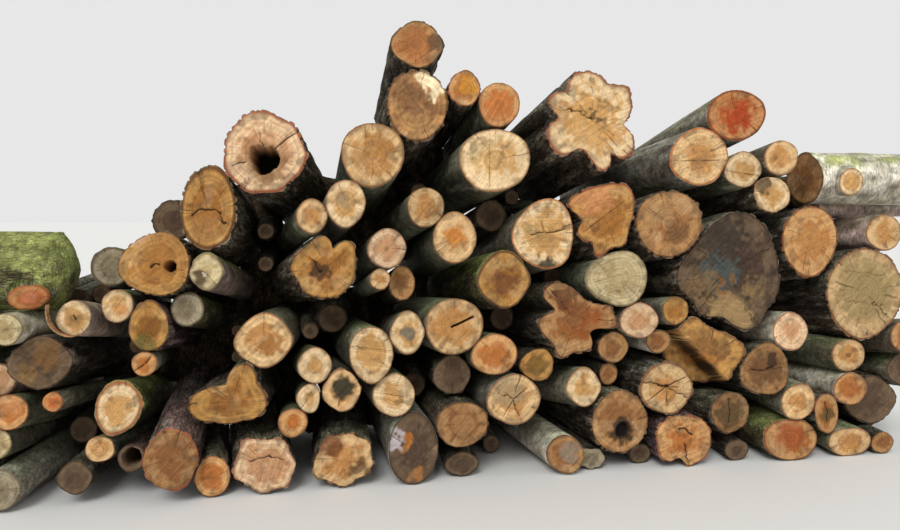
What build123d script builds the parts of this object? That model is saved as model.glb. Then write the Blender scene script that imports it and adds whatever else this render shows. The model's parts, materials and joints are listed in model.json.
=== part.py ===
from build123d import *
from dataclasses import dataclass, field
from math import cos, radians, sin, tan
import os

import numpy as np

# A stack of felled logs, millimetres. X runs along the front of the stack, Y runs back along
# the logs and Z is up. The sawn faces lie near the plane Y = 0 and face -Y.

# Where each face is seen: an eye in front of the stack, turned a little to the right.
# A reading (across, down) is in points of a picture 900 wide, taken with the focal length below.
eye_distance = 3975.0
eye_height = 1485.0
eye_turn = 10.0
focal_points = 780.0
middle_across = 450.0
horizon_down = 195.0

# Usual lengths of the cut pieces
long_length = 1500.0
usual_length = 1300.0
short_length = 1100.0
billet_length = 1000.0

# Nodes that the loose billets share
billet_nodes = "abcdefghij"

# Degrees between the corners of a section, for round logs and for the odd butts
round_corner_step = 12
odd_corner_step = 6

# Resting and cutting
clearance = 0.45
slack = 0.12
farthest_slide = 160.0

# Hidden billets that fill the hollows behind the faces
inner_start = 380.0
inner_grid = 30.0
inner_least = 48.0
inner_most = 150.0
tail_sink = 240.0
saw_step = 7.0
saw_slot = 9.0

# The rotten hollow of the big trunk at the top left
hollow_depth = 290.0
hollow_narrowing = 0.55

# Small rot holes
knot_hole_width = 56.0
knot_hole_depth = 180.0
pipe_hole_width = 84.0
pipe_hole_depth = 240.0
rot_pocket_width = 96.0
rot_pocket_depth = 45.0

# The felling notch, the split slab and the nearly sawn-off slice
notch_lean = 24.0
notch_offset = 12.0
slab_step_depth = 190.0
slice_thickness = 34.0
slice_slot_share = 0.62

# Stubs of branches on the two trunks that lie across the stack
moss_trunk_width = 372.0
moss_trunk_length = 950.0
moss_stub_width = 150.0
moss_stub_length = 150.0
birch_trunk_width = 292.0
birch_trunk_length = 1300.0
birch_stub_width = 172.0
birch_stub_length = 95.0
pole_width = 120.0
pole_length = 1100.0

# Outlines of round logs: radii in percent at equal angles, from +X over the top
plain = [100, 103, 99, 97, 100, 104, 101, 98, 101, 99, 96, 99]
even = [102, 99, 101, 104, 98, 97, 100, 101, 97, 102, 103, 98]
lumpy = [104, 96, 101, 107, 97, 94, 103, 99, 95, 105, 101, 97]
fluted = [105, 98, 102, 95, 103, 106, 97, 101, 94, 104, 99, 105, 96, 100, 95, 101]
boxy = [95, 101, 107, 99, 94, 100, 108, 100, 95, 102, 106, 97]
pointed = [124, 109, 98, 94, 95, 97, 98, 97, 95, 94, 98, 108]
drop = [113, 104, 99, 98, 98, 99, 100, 99, 97, 98, 99, 105]
half_round = [102, 104, 103, 101, 103, 104, 101, 92, 80, 76, 80, 93]
ragged = [103, 92, 106, 97, 88, 101, 110, 94, 99, 107, 90, 98, 104, 93, 108, 97]

# Outlines of the odd butts: points (x, z) about the middle of the face, in millimetres
star = [
    (230, 54), (224, 123), (215, 180), (163, 198), (95, 203), (50, 241), (-6, 268), (-90, 262),
    (-129, 232), (-146, 163), (-208, 150), (-252, 118), (-258, 80), (-230, 43), (-200, 8),
    (-262, -43), (-260, -105), (-232, -160), (-170, -197), (-101, -168), (-50, -173), (-17, -214),
    (17, -257), (62, -286), (108, -240), (106, -180), (163, -212), (217, -198), (245, -155),
    (245, -96), (217, -56), (184, -30), (208, 11),
]
brown = [
    (160, 30), (155, 100), (125, 140), (82, 136), (42, 98), (28, 142), (0, 170), (-50, 160),
    (-98, 115), (-142, 76), (-178, 30), (-174, -20), (-142, -65), (-125, -108), (-80, -140),
    (0, -158), (75, -145), (125, -102), (155, -42),
]
bone = [
    (206, 27), (188, 62), (122, 75), (67, 90), (11, 122), (-33, 165), (-83, 197), (-139, 203),
    (-183, 185), (-208, 146), (-198, 108), (-158, 78), (-140, 55), (-164, 30), (-214, 14),
    (-233, -14), (-226, -50), (-203, -86), (-170, -122), (-145, -152), (-128, -191),
    (-94, -220), (-58, -206), (-17, -188), (39, -186), (80, -164), (78, -124), (66, -90),
    (94, -66), (150, -58), (216, -62), (220, -16),
]
notched = [
    (174, 54), (172, 138), (146, 189), (84, 205), (0, 194), (-95, 167), (-162, 130), (-188, 78),
    (-148, 32), (-120, -14), (-142, -38), (-157, -70), (-144, -104), (-104, -130), (-68, -136),
    (-70, -174), (-48, -208), (-11, -204), (34, -170), (101, -160), (134, -122), (144, -60),
    (162, -20),
]
giant = [
    (318, 11), (293, 138), (239, 248), (160, 315), (60, 340), (-60, 293), (-149, 212),
    (-221, 132), (-290, 44), (-316, -39), (-302, -84), (-250, -136), (-205, -182), (-178, -236),
    (-119, -256), (-30, -262), (30, -304), (101, -334), (176, -330), (225, -276), (247, -208),
    (299, -166), (322, -90),
]
flat = [
    (191, -10), (170, 58), (138, 104), (134, 152), (96, 198), (40, 200), (4, 160), (-12, 104),
    (-76, 92), (-148, 68), (-198, 20), (-198, -40), (-152, -82), (-76, -97), (57, -98),
    (146, -78),
]
slab = [
    (224, 0), (206, 52), (149, 84), (89, 118), (14, 138), (-30, 170), (-92, 202), (-166, 164),
    (-206, 78), (-192, 6), (-138, -78), (-62, -152), (30, -182), (116, -176), (144, -112),
    (194, -56),
]
square_butt = [
    (166, 12), (160, 58), (117, 108), (29, 135), (-70, 140), (-138, 108), (-174, 54),
    (-170, 0), (-162, -48), (-138, -93), (-94, -110), (-52, -94), (-18, -108), (12, -141),
    (70, -130), (134, -94), (164, -36),
]


@dataclass
class Log:
    """One log: where its face is seen, its size, and how it runs back into the stack."""

    name: str
    seen: tuple
    wide: float
    high: float
    form: list = field(default_factory=lambda: plain)
    depth: float = 0.0
    length: float = usual_length
    drift: float = 0.0
    climb: float = 0.0
    taper: float = 0.97
    roll: float = 0.0
    lean: tuple = (0.0, 0.0)
    turned: tuple = ()
    shift: tuple = (0.0, 0.0)
    loose: bool = False


def log(name, seen, wide, high, form=plain, **more):
    return Log(name, seen, wide, high, form, **more)


logs = [
    # Bottom row, left to right
    log("ground_log_left", (-5, 488), 190, 190, even, depth=-40, drift=260, length=long_length),
    log("edge_log_low", (-2, 440), 140, 150, plain, loose=True, length=billet_length),
    log("ground_log_small", (75, 478), 165, 160, lumpy, loose=True, length=short_length),
    log("ochre_billet", (112, 449), 138, 126, even, roll=40, loose=True, length=short_length),
    log("pipe_billet", (143, 448), 135, 138, plain, depth=30, loose=True, drift=60),
    log("leaning_log", (172, 484), 262, 300, even, depth=-90, climb=470, drift=40, taper=0.85),
    log("orange_billet", (214, 464), 185, 196, drop, roll=100, drift=30, lean=(6, 5), loose=True),
    log("broken_butt", (257, 470), 313, 283, ragged, lean=(-5, 6), length=short_length),
    log("crumbling_butt", (343, 463), 320, 276, ragged, roll=75, length=short_length),
    log("dark_butt", (417, 448), 268, 352, drop, roll=95, lean=(4, 4), length=usual_length),
    log("low_prop_middle", (462, 472), 190, 130, lumpy, depth=60, loose=True),
    log("split_end_birch", (568, 455), 199, 194, even, drift=-190, lean=(-8, 10)),
    log("crumbly_stub", (600, 462), 160, 118, ragged, depth=40, loose=True, length=billet_length),
    log("low_prop_right", (645, 462), 130, 110, plain, depth=90, loose=True),
    log("square_butt", (680, 443), 340, 280, square_butt, drift=-20, lean=(3, 3)),
    log("low_prop_grass", (735, 452), 150, 120, plain, depth=40, loose=True),
    log("moss_edge_butt", (796, 443), 330, 250, half_round, roll=180, lean=(0, 8)),
    log("grass_edge_log", (842, 444), 270, 178, half_round, roll=180, drift=20),
    log("low_brown_billet", (880, 446), 150, 126, even, loose=True, length=billet_length),
    # Lower left
    log("striped_billet", (5, 418), 162, 174, plain, lean=(8, 0), drift=60, loose=True),
    log("long_billet", (52, 402), 92, 95, even, drift=150, climb=60, loose=True),
    log("cream_teardrop", (118, 408), 224, 246, pointed, roll=250, drift=-30, lean=(5, 3)),
    log("flat_log", (228, 400), 396, 300, flat, drift=-40, length=usual_length, lean=(0, -6)),
    log("orange_heart_billet", (284, 428), 146, 149, plain, drift=-60, loose=True),
    log("half_pale_billet", (304, 402), 118, 150, boxy, drift=-90, loose=True),
    log("rotten_ring", (340, 391), 200, 212, lumpy, drift=-40),
    log("crossed_kerf", (395, 397), 215, 215, even, drift=-70, lean=(-6, 4)),
    log("brown_oval", (458, 428), 285, 243, plain, drift=-30, lean=(3, 3)),
    log("weathered_round", (512, 399), 287, 263, even, drift=-40, lean=(-4, 0)),
    log("pale_billet", (585, 388), 184, 203, lumpy, drift=-170, lean=(-8, 2), loose=True),
    log("hidden_billet", (609, 385), 107, 129, plain, depth=90, loose=True),
    log("rot_heart_butt", (609, 424), 339, 333, drop, roll=95, drift=-30),
    log("cracked_round", (674, 387), 309, 288, even, drift=-50, lean=(-3, 2)),
    log("olive_round", (729, 413), 234, 237, plain, drift=-40, loose=True),
    log("dark_brown_butt", (767, 376), 311, 295, boxy, roll=20, drift=-40),
    log("tan_bean", (792, 404), 216, 202, drop, roll=60, drift=-20, loose=True),
    log("orange_green_split", (824, 411), 163, 214, pointed, roll=280, drift=10, loose=True),
    log("shadow_log", (868, 407), 345, 280, lumpy, depth=130, drift=-10),
    # Left
    log("pink_birch", (3, 380), 150, 150, even, depth=60, drift=140, loose=True),
    log("rotten_brown", (32, 357), 285, 252, lumpy, drift=90, lean=(8, 4)),
    log("green_bark_log", (8, 330), 165, 150, even, depth=-60, drift=260, loose=True),
    log("orange_crack_billet", (144, 364), 119, 121, plain, drift=-100, climb=60, loose=True),
    log("peeled_billet", (68, 312), 151, 171, even, drift=120, lean=(8, 5), loose=True),
    log("kerf_billet", (117, 306), 145, 164, plain, drift=-80, loose=True),
    log("dark_heart_egg", (152, 327), 207, 232, pointed, roll=92, drift=20),
    log("grey_billet", (180, 305), 163, 171, plain, depth=80, drift=160, loose=True),
    log("tan_double", (260, 347), 280, 263, lumpy, drift=60, climb=40, lean=(4, 0)),
    log("cream_billet", (314, 375), 173, 180, even, drift=-120, climb=50, loose=True),
    log("hole_log", (155, 270), 330, 315, boxy, roll=12, drift=110, lean=(5, 3)),
    log("moss_back_log", (118, 268), 200, 200, plain, depth=210, drift=130, loose=True),
    log("half_rotten_billet", (205, 272), 156, 176, lumpy, drift=150, loose=True),
    log("tall_egg", (208, 212), 283, 392, pointed, roll=84, drift=90, lean=(6, 2)),
    log("hollow_trunk", (264, 153), 407, 417, fluted, drift=190, length=long_length, lean=(4, 0)),
    # Middle
    log("brown_butt", (325, 268), 342, 342, brown, drift=-230, length=short_length),
    log("yawed_billet", (316, 214), 158, 175, even, drift=-290, length=short_length, loose=True),
    log("grey_pointed", (346, 196), 215, 222, pointed, roll=268, drift=-60, loose=True),
    log("tan_round", (375, 154), 320, 331, plain, drift=-60, lean=(0, -3)),
    log("small_round", (380, 272), 107, 107, even, drift=-60, loose=True),
    log("dark_tan_billet", (402, 277), 149, 184, drop, roll=100, depth=90, loose=True),
    log("pinkish_round", (387, 239), 199, 204, even, drift=-110, lean=(-4, 0), loose=True),
    log("tan_billet", (426, 203), 192, 211, plain, drift=-120, loose=True),
    log("egg_round", (455, 238), 237, 254, drop, roll=92, drift=-40, loose=True),
    log("rotten_centre", (407, 333), 180, 215, lumpy, drift=-60, loose=True),
    log("cream_drop", (375, 361), 234, 260, pointed, roll=272, drift=-110, climb=30, lean=(-5, 5)),
    log("slit_round", (456, 328), 300, 300, plain, drift=-60, lean=(-3, 0)),
    log("shadow_round", (452, 374), 214, 214, even, depth=120, loose=True),
    log("orange_round", (494, 354), 241, 220, drop, roll=190, drift=90, lean=(4, 2)),
    log("ochre_round", (541, 360), 192, 180, boxy, depth=60, loose=True),
    log("moss_side_log", (504, 280), 275, 288, lumpy, drift=-160, lean=(-4, 3)),
    log("speckled_cream", (543, 226), 329, 370, boxy, roll=8, drift=-110, lean=(-3, 0)),
    log("seam_round", (496, 154), 370, 335, plain, drift=-120, lean=(-5, 0)),
    # Right
    log("bone_butt", (578, 322), 460, 426, bone, drift=-20, length=short_length),
    log("brown_round", (613, 347), 181, 172, even, depth=50, loose=True),
    log("olive_billet", (656, 343), 144, 130, plain, depth=30, loose=True),
    log("pink_round", (641, 319), 218, 190, even, drift=-30, lean=(-3, 2), loose=True),
    log("ring_billet", (681, 317), 152, 158, plain, drift=-40, loose=True),
    log("split_slab", (722, 355), 430, 384, slab, drift=-60, length=short_length),
    log("pale_green_round", (617, 280), 352, 296, boxy, drift=-40, lean=(0, 3)),
    log("notched_butt", (607, 222), 362, 420, notched, drift=-30, length=short_length),
    log("mottled_round", (672, 226), 390, 381, plain, drift=-60, lean=(-3, 0)),
    log("giant_butt", (725, 270), 640, 655, giant, depth=20, drift=-60, length=long_length),
    log("birch_billet", (788, 337), 203, 212, even, drift=-150, lean=(-6, 2), loose=True),
    log("green_side_billet", (857, 357), 191, 188, plain, drift=-260, lean=(-6, 0), loose=True),
    log("edge_orange_log", (906, 336), 200, 195, even, drift=20, loose=True),
    log("edge_green_log", (896, 374), 225, 200, lumpy, depth=90, loose=True),
    log("white_side_billet", (849, 392), 216, 184, even, drift=-170, climb=30, loose=True),
    log("broad_heartwood", (862, 292), 511, 501, drop, roll=265, drift=-130, length=long_length),
    log("pointed_orange", (810, 238), 374, 372, pointed, roll=272, drift=-40, lean=(0, -3)),
    log("pink_side_billet", (880, 226), 206, 206, even, drift=-330, lean=(-8, 0), loose=True),
    # Top
    log("oval_crescent", (411, 104), 330, 384, plain, drift=60, lean=(4, -2)),
    log("top_log", (416, 54), 279, 241, lumpy, drift=20),
    log("yellow_billet", (468, 81), 175, 187, even, drift=20, loose=True),
    log("bright_orange_round", (496, 93), 220, 235, plain, drift=-20, lean=(0, -3)),
    log("star_butt", (593, 120), 516, 556, star, drift=-90, length=short_length),
    log("grey_side_round", (700, 153), 325, 312, even, drift=-240, lean=(-5, 0)),
    log("red_orange_round", (735, 114), 354, 282, drop, roll=20, drift=60, lean=(4, -4)),
    log("pale_kerf_billet", (745, 171), 223, 194, even, drift=-40, loose=True),
    log("ring_round", (781, 149), 203, 201, drop, roll=30, drift=-80, loose=True),
    log("low_pale_billet", (771, 193), 227, 206, drop, roll=150, drift=-60, loose=True),
    log("shade_billet", (492, 209), 180, 180, even, depth=300, drift=-60, loose=True),
    log("outer_billet_low", (-44, 468), 230, 230, even, drift=20, loose=True),
    log("outer_billet_back", (-88, 470), 215, 210, plain, drift=-30, loose=True),
    log("outer_billet_second", (-52, 421), 220, 214, lumpy, drift=40, loose=True),
    log("outer_billet_third", (-44, 377), 205, 200, even, drift=-30, loose=True),
    log("outer_billet_top", (-40, 336), 210, 204, plain, drift=30, loose=True),
]

# Trunks that lie across the front: seen is the middle of the near end, turned is how far the
# axis is swung from +Y towards +X and how far it rises, in degrees.
across = [
    log("mossy_trunk", (78, 276), moss_trunk_width, 360, lumpy, depth=170,
        length=moss_trunk_length, taper=1.04, turned=(-83.0, 0.0)),
    log("birch_trunk", (803, 182), birch_trunk_width, birch_trunk_width, even, depth=150,
        length=birch_trunk_length, taper=1.06, turned=(81.0, 0.0)),
    log("pink_pole", (812, 212), pole_width, pole_width, plain, depth=260,
        length=pole_length, taper=0.9, turned=(70.0, 0.0)),
]


def seen_place(seen, depth):
    """Place of a reading on the upright plane that lies depth behind the front of the stack."""
    off_axis = np.arctan((seen[0] - middle_across) / focal_points)
    x = (eye_distance + depth) * tan(radians(eye_turn) + off_axis) - eye_distance * tan(radians(eye_turn))
    along_axis = (eye_distance + depth) * cos(off_axis) / cos(radians(eye_turn) + off_axis)
    z = eye_height - (seen[1] - horizon_down) * along_axis / focal_points
    return np.array([x, depth, z])


def corner_step(piece):
    """Degrees from one corner of the outline to the next."""
    return odd_corner_step if isinstance(piece.form[0], tuple) else round_corner_step


def smooth_radii(piece):
    """Radius of the face at each whole degree, on a smooth curve through its outline."""
    form = piece.form
    if isinstance(form[0], tuple):
        points = np.array(form, float)
        angles = np.degrees(np.arctan2(points[:, 1], points[:, 0]))
        order = np.argsort(angles)
        knots, radii = angles[order], np.hypot(*points[order].T)
    else:
        knots = np.arange(len(form)) * 360 / len(form) + piece.roll
        radii = np.array(form, float) / 100
    turns = np.concatenate([knots - 720, knots - 360, knots, knots + 360])
    values = np.tile(radii, 4)
    slopes = (np.roll(values, -1) - np.roll(values, 1)) / (np.roll(turns, -1) - np.roll(turns, 1))
    at = np.arange(360.0)
    last = np.searchsorted(turns, at, side="right") - 1
    span = turns[last + 1] - turns[last]
    u = (at - turns[last]) / span
    table = (
        (1 + 2 * u) * (1 - u) ** 2 * values[last]
        + u * (1 - u) ** 2 * span * slopes[last]
        + u * u * (3 - 2 * u) * values[last + 1]
        + u * u * (u - 1) * span * slopes[last + 1]
    )
    if isinstance(form[0], tuple):
        return table
    half_wide, half_high = piece.wide / 2, piece.high / 2
    ellipse = 1 / np.hypot(np.cos(np.radians(at)) / half_wide, np.sin(np.radians(at)) / half_high)
    return table * ellipse


def radius_table(piece):
    """Radius at each whole degree of the many-sided outline that the log is hewn to."""
    smooth = smooth_radii(piece)
    step = corner_step(piece)
    at = np.arange(360)
    low, high = at // step * step, (at // step + 1) * step % 360
    to_low, to_high = np.radians(at % step), np.radians(step - at % step)
    chord = smooth[low] * smooth[high] * sin(radians(step))
    return chord / (smooth[low] * np.sin(to_low) + smooth[high] * np.sin(to_high))


class Placed:
    """A log in space: the origin at the middle of its face, its own axes, and its outline."""

    def __init__(self, piece):
        self.piece = piece
        self.table = radius_table(piece)
        self.home = seen_place(piece.seen, piece.depth)
        self.home[[0, 2]] += piece.shift
        self.origin = self.home.copy()
        swing, rise = [radians(a) for a in (piece.turned or (0.0, 0.0))]
        along = np.array([sin(swing) * cos(rise), cos(swing) * cos(rise), sin(rise)])
        side = np.array([cos(swing), -sin(swing), 0.0])
        self.axes = np.array([side, along, np.cross(side, along)])
        self.tail = np.array([piece.drift, piece.climb], float)
        side_lean, up_lean = (radians(a) for a in piece.lean)
        self.out = np.array([sin(side_lean), -cos(side_lean) * cos(up_lean), sin(up_lean)])
        self.reach = self.table.max() * max(1.0, piece.taper)

    def middle(self, y):
        """Middle of the section at y, in the log's own axes."""
        share = np.asarray(y, float) / self.piece.length
        return share[..., None] * self.tail

    def size(self, y):
        return 1 + (self.piece.taper - 1) * np.asarray(y, float) / self.piece.length

    def rings(self, angles):
        """The edges of the leaning sawn face and of the tail at these whole degrees, in space."""
        turn = np.radians(angles)
        near = self.table[angles, None] * np.column_stack([np.cos(turn), 0 * turn, np.sin(turn)])
        far = near * self.piece.taper + [self.tail[0], self.piece.length, self.tail[1]]
        share = -(near @ self.out) / ((far - near) @ self.out)
        sawn = near + share[:, None] * (far - near)
        return self.origin + sawn @ self.axes, self.origin + far @ self.axes

    def surface(self, stations, turns):
        """Points on the side of the log, in space."""
        sawn, far = self.rings(np.arange(turns) * 360 // turns)
        along = np.linspace(0, 1, stations)[:, None, None]
        return (sawn + along * (far - sawn)).reshape(-1, 3)

    def depth_of(self, points):
        """How far each point is outside this log's side, and the way out, beyond its ends far."""
        own = (points - self.origin) @ self.axes.T
        y = own[:, 1]
        offset = own[:, [0, 2]] - self.middle(y)
        distance = np.hypot(offset[:, 0], offset[:, 1])
        angle = np.degrees(np.arctan2(offset[:, 1], offset[:, 0])) % 360
        radius = np.interp(angle, np.arange(361), np.append(self.table, self.table[0])) * self.size(y)
        outside = distance - radius
        beyond = np.maximum(own @ self.out, y - self.piece.length)
        return np.where(beyond > 0, np.maximum(outside, beyond), outside), own, offset, distance

    def low_ends(self):
        """Height of the lowest point of each end, with its place along the log."""
        for y, ring in zip((0.0, self.piece.length), self.rings(np.arange(0, 360, 3))):
            yield y, ring[:, 2].min()


def nearest(a, b, stations, turns):
    """Smallest gap between two logs, with the place and the way that parts a from b."""
    best = None
    if a.piece.turned or b.piece.turned:
        stations *= 3
    for first, second, sign in ((a, b, 1.0), (b, a, -1.0)):
        points = first.surface(stations, turns)
        outside, own, offset, distance = second.depth_of(points)
        k = int(np.argmin(outside))
        if best is None or outside[k] < best[0]:
            way = np.array([offset[k, 0], 0.0, offset[k, 1]]) / max(distance[k], 1e-6) @ second.axes
            best = (outside[k], points[k], sign * way)
    return best


def near_pairs(pieces, margin):
    """Pairs whose fat axes pass within the margin of each other."""
    rows = []
    for p in pieces:
        y = np.linspace(0, p.piece.length, 25)
        middle = p.middle(y)
        rows.append(p.origin + np.column_stack([middle[:, 0], y, middle[:, 1]]) @ p.axes)
    pairs = []
    for i in range(len(pieces)):
        for j in range(i + 1, len(pieces)):
            gap = np.linalg.norm(rows[i][:, None] - rows[j][None], axis=2).min()
            if gap < pieces[i].reach + pieces[j].reach + margin:
                pairs.append((i, j))
    return pairs


def push(piece, point, step, front_ease, tail_ease):
    """Move the log so that its section at the point shifts by the step, across its axis."""
    if piece.piece.turned:
        piece.origin[[0, 2]] += step[[0, 2]]
        return
    share = min(max((point[1] - piece.origin[1]) / piece.piece.length, 0.0), 1.0)
    weight = (1 - share) ** 2 * front_ease + share**2 * tail_ease
    front_step = step[[0, 2]] * (1 - share) * front_ease / weight
    tail_step = step[[0, 2]] * share * tail_ease / weight
    piece.origin[[0, 2]] += front_step
    piece.tail += tail_step - front_step


def relax(pieces, rounds, fall, hold, stations, turns):
    """Part the logs that cut into each other, while tails sink and faces keep to their readings."""
    for turn in range(rounds):
        if turn % 10 == 0:
            pairs = near_pairs(pieces, 60.0)
        loose = 1 - turn / rounds
        for p in pieces:
            p.origin[[0, 2]] += hold * loose * (p.home - p.origin)[[0, 2]]
            if p.piece.turned:
                p.origin[2] -= fall * loose
            elif p.tail[1] > p.piece.climb - tail_sink:
                p.tail[1] -= fall * loose
        tightest = clearance
        for i, j in pairs:
            gap, point, way = nearest(pieces[i], pieces[j], stations, turns)
            if gap < clearance:
                tightest = min(tightest, gap)
                step = (clearance - gap + slack) * 0.5 * way
                push(pieces[i], point, step, 0.4, 1.0)
                push(pieces[j], point, -step, 0.4, 1.0)
        for p in pieces:
            for y, low in p.low_ends():
                if low < 0:
                    push(p, p.origin + np.array([0, y, 0]), np.array([0, 0, -low]), 1.0, 1.0)
                    tightest = min(tightest, low + clearance)
        if not fall and tightest > clearance - slack:
            return


def touching_groups(pieces):
    """Sets of logs that touch one another, the largest first."""
    groups = [{i} for i in range(len(pieces))]
    for i, j in near_pairs(pieces, 20.0):
        if nearest(pieces[i], pieces[j], 41, 120)[0] < 2 * clearance:
            one, other = (next(g for g in groups if k in g) for k in (i, j))
            if one is not other:
                one |= other
                groups.remove(other)
    return sorted(groups, key=len, reverse=True)


def close_up(pieces):
    """Lower each set of logs that hangs free until it rests, or slide it along the ground."""
    for _ in range(60):
        groups = touching_groups(pieces)
        if len(groups) == 1:
            return
        moving = min(groups[1:], key=lambda group: min(pieces[i].origin[2] for i in group))
        pairs = [(i, j) for i, j in near_pairs(pieces, farthest_slide) if (i in moving) != (j in moving)]
        slide = None
        for _ in range(25):
            found = [nearest(pieces[i], pieces[j], 41, 120) + (i in moving,) for i, j in pairs]
            gap, _, way, ours = min(found, key=lambda one: one[0])
            above_ground = min(low for i in moving for _, low in pieces[i].low_ends())
            if above_ground < 3 * slack:
                slide = slide or (-1.0 if (way[0] > 0) == ours else 1.0)
                step = np.array([slide, 0.0, 0.0])
                room = gap - clearance
            else:
                step = np.array([0.0, 0.0, -1.0])
                room = min(gap - clearance, above_ground)
            if gap < 2 * clearance:
                break
            for i in moving:
                pieces[i].origin += step * min(0.9 * room, 40.0)


def inner_billets(pieces):
    """Round billets in the hollows behind the faces, as thick as the room allows."""
    x_range = [f([p.origin[0] for p in pieces]) for f in (min, max)]
    across_grid, up_grid = np.meshgrid(
        np.arange(x_range[0], x_range[1], inner_grid), np.arange(inner_grid, 2000, inner_grid)
    )
    places = np.column_stack([across_grid.ravel(), up_grid.ravel()])
    along = np.linspace(inner_start, inner_start + billet_length, 6)
    points = np.array([(x, y, z) for x, z in places for y in along])
    room = np.minimum.reduce([p.depth_of(points)[0] for p in pieces]).reshape(-1, len(along)).min(axis=1)
    roof = np.array([max([p.origin[2] for p in pieces if abs(p.origin[0] - x) < p.reach], default=0)
                     for x in across_grid[0]])
    room[up_grid.ravel() > np.tile(roof, len(up_grid))] = 0
    room = np.minimum(room, places[:, 1])
    found = []
    while room.max() > inner_least:
        best = int(room.argmax())
        radius = min(0.94 * room[best] - 2 * clearance, inner_most)
        room[best] = 0
        gap = 0.0
        while gap < clearance and radius > inner_least / 2:
            billet = Placed(log(f"inner_billet_{len(found) + 1}", (450, 195), 2 * radius, 2 * radius,
                                [100] * 12, taper=1.0, length=billet_length, loose=True))
            billet.origin = np.array([places[best, 0], inner_start, places[best, 1]])
            neighbours = [q for q in pieces + found if near_pairs([billet, q], 90.0)]
            gap = min(nearest(billet, q, 41, 120)[0] for q in neighbours)
            radius -= max(clearance - gap, 0.0) + slack
        if gap < clearance:
            continue
        for _ in range(30):
            gap = min(nearest(billet, q, 41, 120)[0] for q in neighbours)
            low = min(low for _, low in billet.low_ends())
            if gap < 2 * clearance or low < slack:
                break
            billet.origin[2] -= min(0.9 * (gap - clearance), 40.0, low)
        else:
            continue
        found.append(billet)
        outside = billet.depth_of(points)[0].reshape(-1, len(along)).min(axis=1)
        room = np.minimum(room, outside)
    return found


def face_plane(p):
    """Plane of the sawn face, looking out of the front, with its lean."""
    out = p.out @ p.axes
    side = p.axes[0] - np.dot(p.axes[0], out) * out / np.dot(out, out)
    return Plane(tuple(p.origin), x_dir=tuple(side), z_dir=tuple(out))


def end_faces(p):
    """The sawn face and the tail, as outlines on their planes."""
    sawn, far = p.rings(np.arange(0, 360, corner_step(p.piece)))
    tail_plane = Plane(tuple(far.mean(axis=0)), x_dir=tuple(p.axes[0]), z_dir=tuple(-p.axes[1]))
    return flat_face(face_plane(p), sawn), flat_face(tail_plane, far)


def flat_face(plane, points):
    with BuildSketch(plane) as outline:
        with BuildLine():
            Polyline(*[plane.to_local_coords(Vector(*point)) for point in points], close=True)
        make_face()
    return outline.sketch


def round_pocket(p, across_by, up_by, width, depth, narrowing):
    """A blind rot hole in the face, narrower at its bottom."""
    face = face_plane(p)
    rings = []
    for inward, size in ((0.0, 1.0), (depth, narrowing)):
        with BuildSketch(face.offset(-inward)) as ring:
            with Locations((across_by, up_by)):
                RegularPolygon(width * size / 2, 14)
        rings.append(ring.sketch)
    loft(rings, ruled=True, mode=Mode.SUBTRACT)


def cut_hollow(p):
    """The ragged rotten hollow of the big trunk."""
    rim = [(60, 8), (36, 30), (4, 24), (-26, 40), (-62, 22), (-70, -24), (-58, -70), (-20, -104),
           (22, -96), (58, -66), (72, -26)]
    face = face_plane(p)
    rings = []
    for inward, size in ((0.0, 1.0), (hollow_depth, hollow_narrowing)):
        with BuildSketch(face.offset(-inward)) as ring:
            with BuildLine():
                Polyline(*[(x * size, z * size) for x, z in rim], close=True)
            make_face()
        rings.append(ring.sketch)
    loft(rings, ruled=True, mode=Mode.SUBTRACT)


def cut_step(p, direction, offset):
    """A step between two passes of the saw: one side of the face lies deeper."""
    face = face_plane(p)
    reach = 2.2 * p.reach
    with BuildSketch(face.rotated((0, 0, direction))) as half:
        with Locations((0, offset + reach / 2)):
            Rectangle(2 * reach, reach)
    extrude(half.sketch, amount=-saw_step, mode=Mode.SUBTRACT)


def cut_slit(p, direction, middle_across_face, middle_up, length, depth):
    """A plunge cut of the saw bar into the face."""
    with BuildSketch(face_plane(p)) as slit:
        with Locations((middle_across_face, middle_up)):
            Rectangle(length, saw_slot, rotation=direction)
    extrude(slit.sketch, amount=-depth, mode=Mode.SUBTRACT)


def cut_notch(p):
    """The felling notch: the upper facet falls away from a slanting ridge."""
    face = face_plane(p)
    ridge = face.rotated((0, 0, 36)).rotated((-notch_lean, 0, 0))
    split(bisect_by=ridge.offset(notch_offset), keep=Keep.BOTTOM)


def cut_slab(p):
    """The lower half of the split log broke off farther back."""
    face = face_plane(p).rotated((0, 0, -44))
    reach = 2.2 * p.reach
    with BuildSketch(face) as broken:
        with Locations((0, -38 - reach / 2)):
            Rectangle(2 * reach, reach)
    extrude(broken.sketch, amount=-slab_step_depth, mode=Mode.SUBTRACT)


def cut_slice(p):
    """A slice nearly sawn off behind the face."""
    face = face_plane(p).rotated((0, 0, 38))
    reach = 2 * p.reach
    with BuildSketch(face.offset(-slice_thickness)) as slot:
        with Locations((0, reach * (1 - slice_slot_share) - 0.22 * reach)):
            Rectangle(2 * reach, reach)
    extrude(slot.sketch, amount=-saw_slot, mode=Mode.SUBTRACT)


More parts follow.
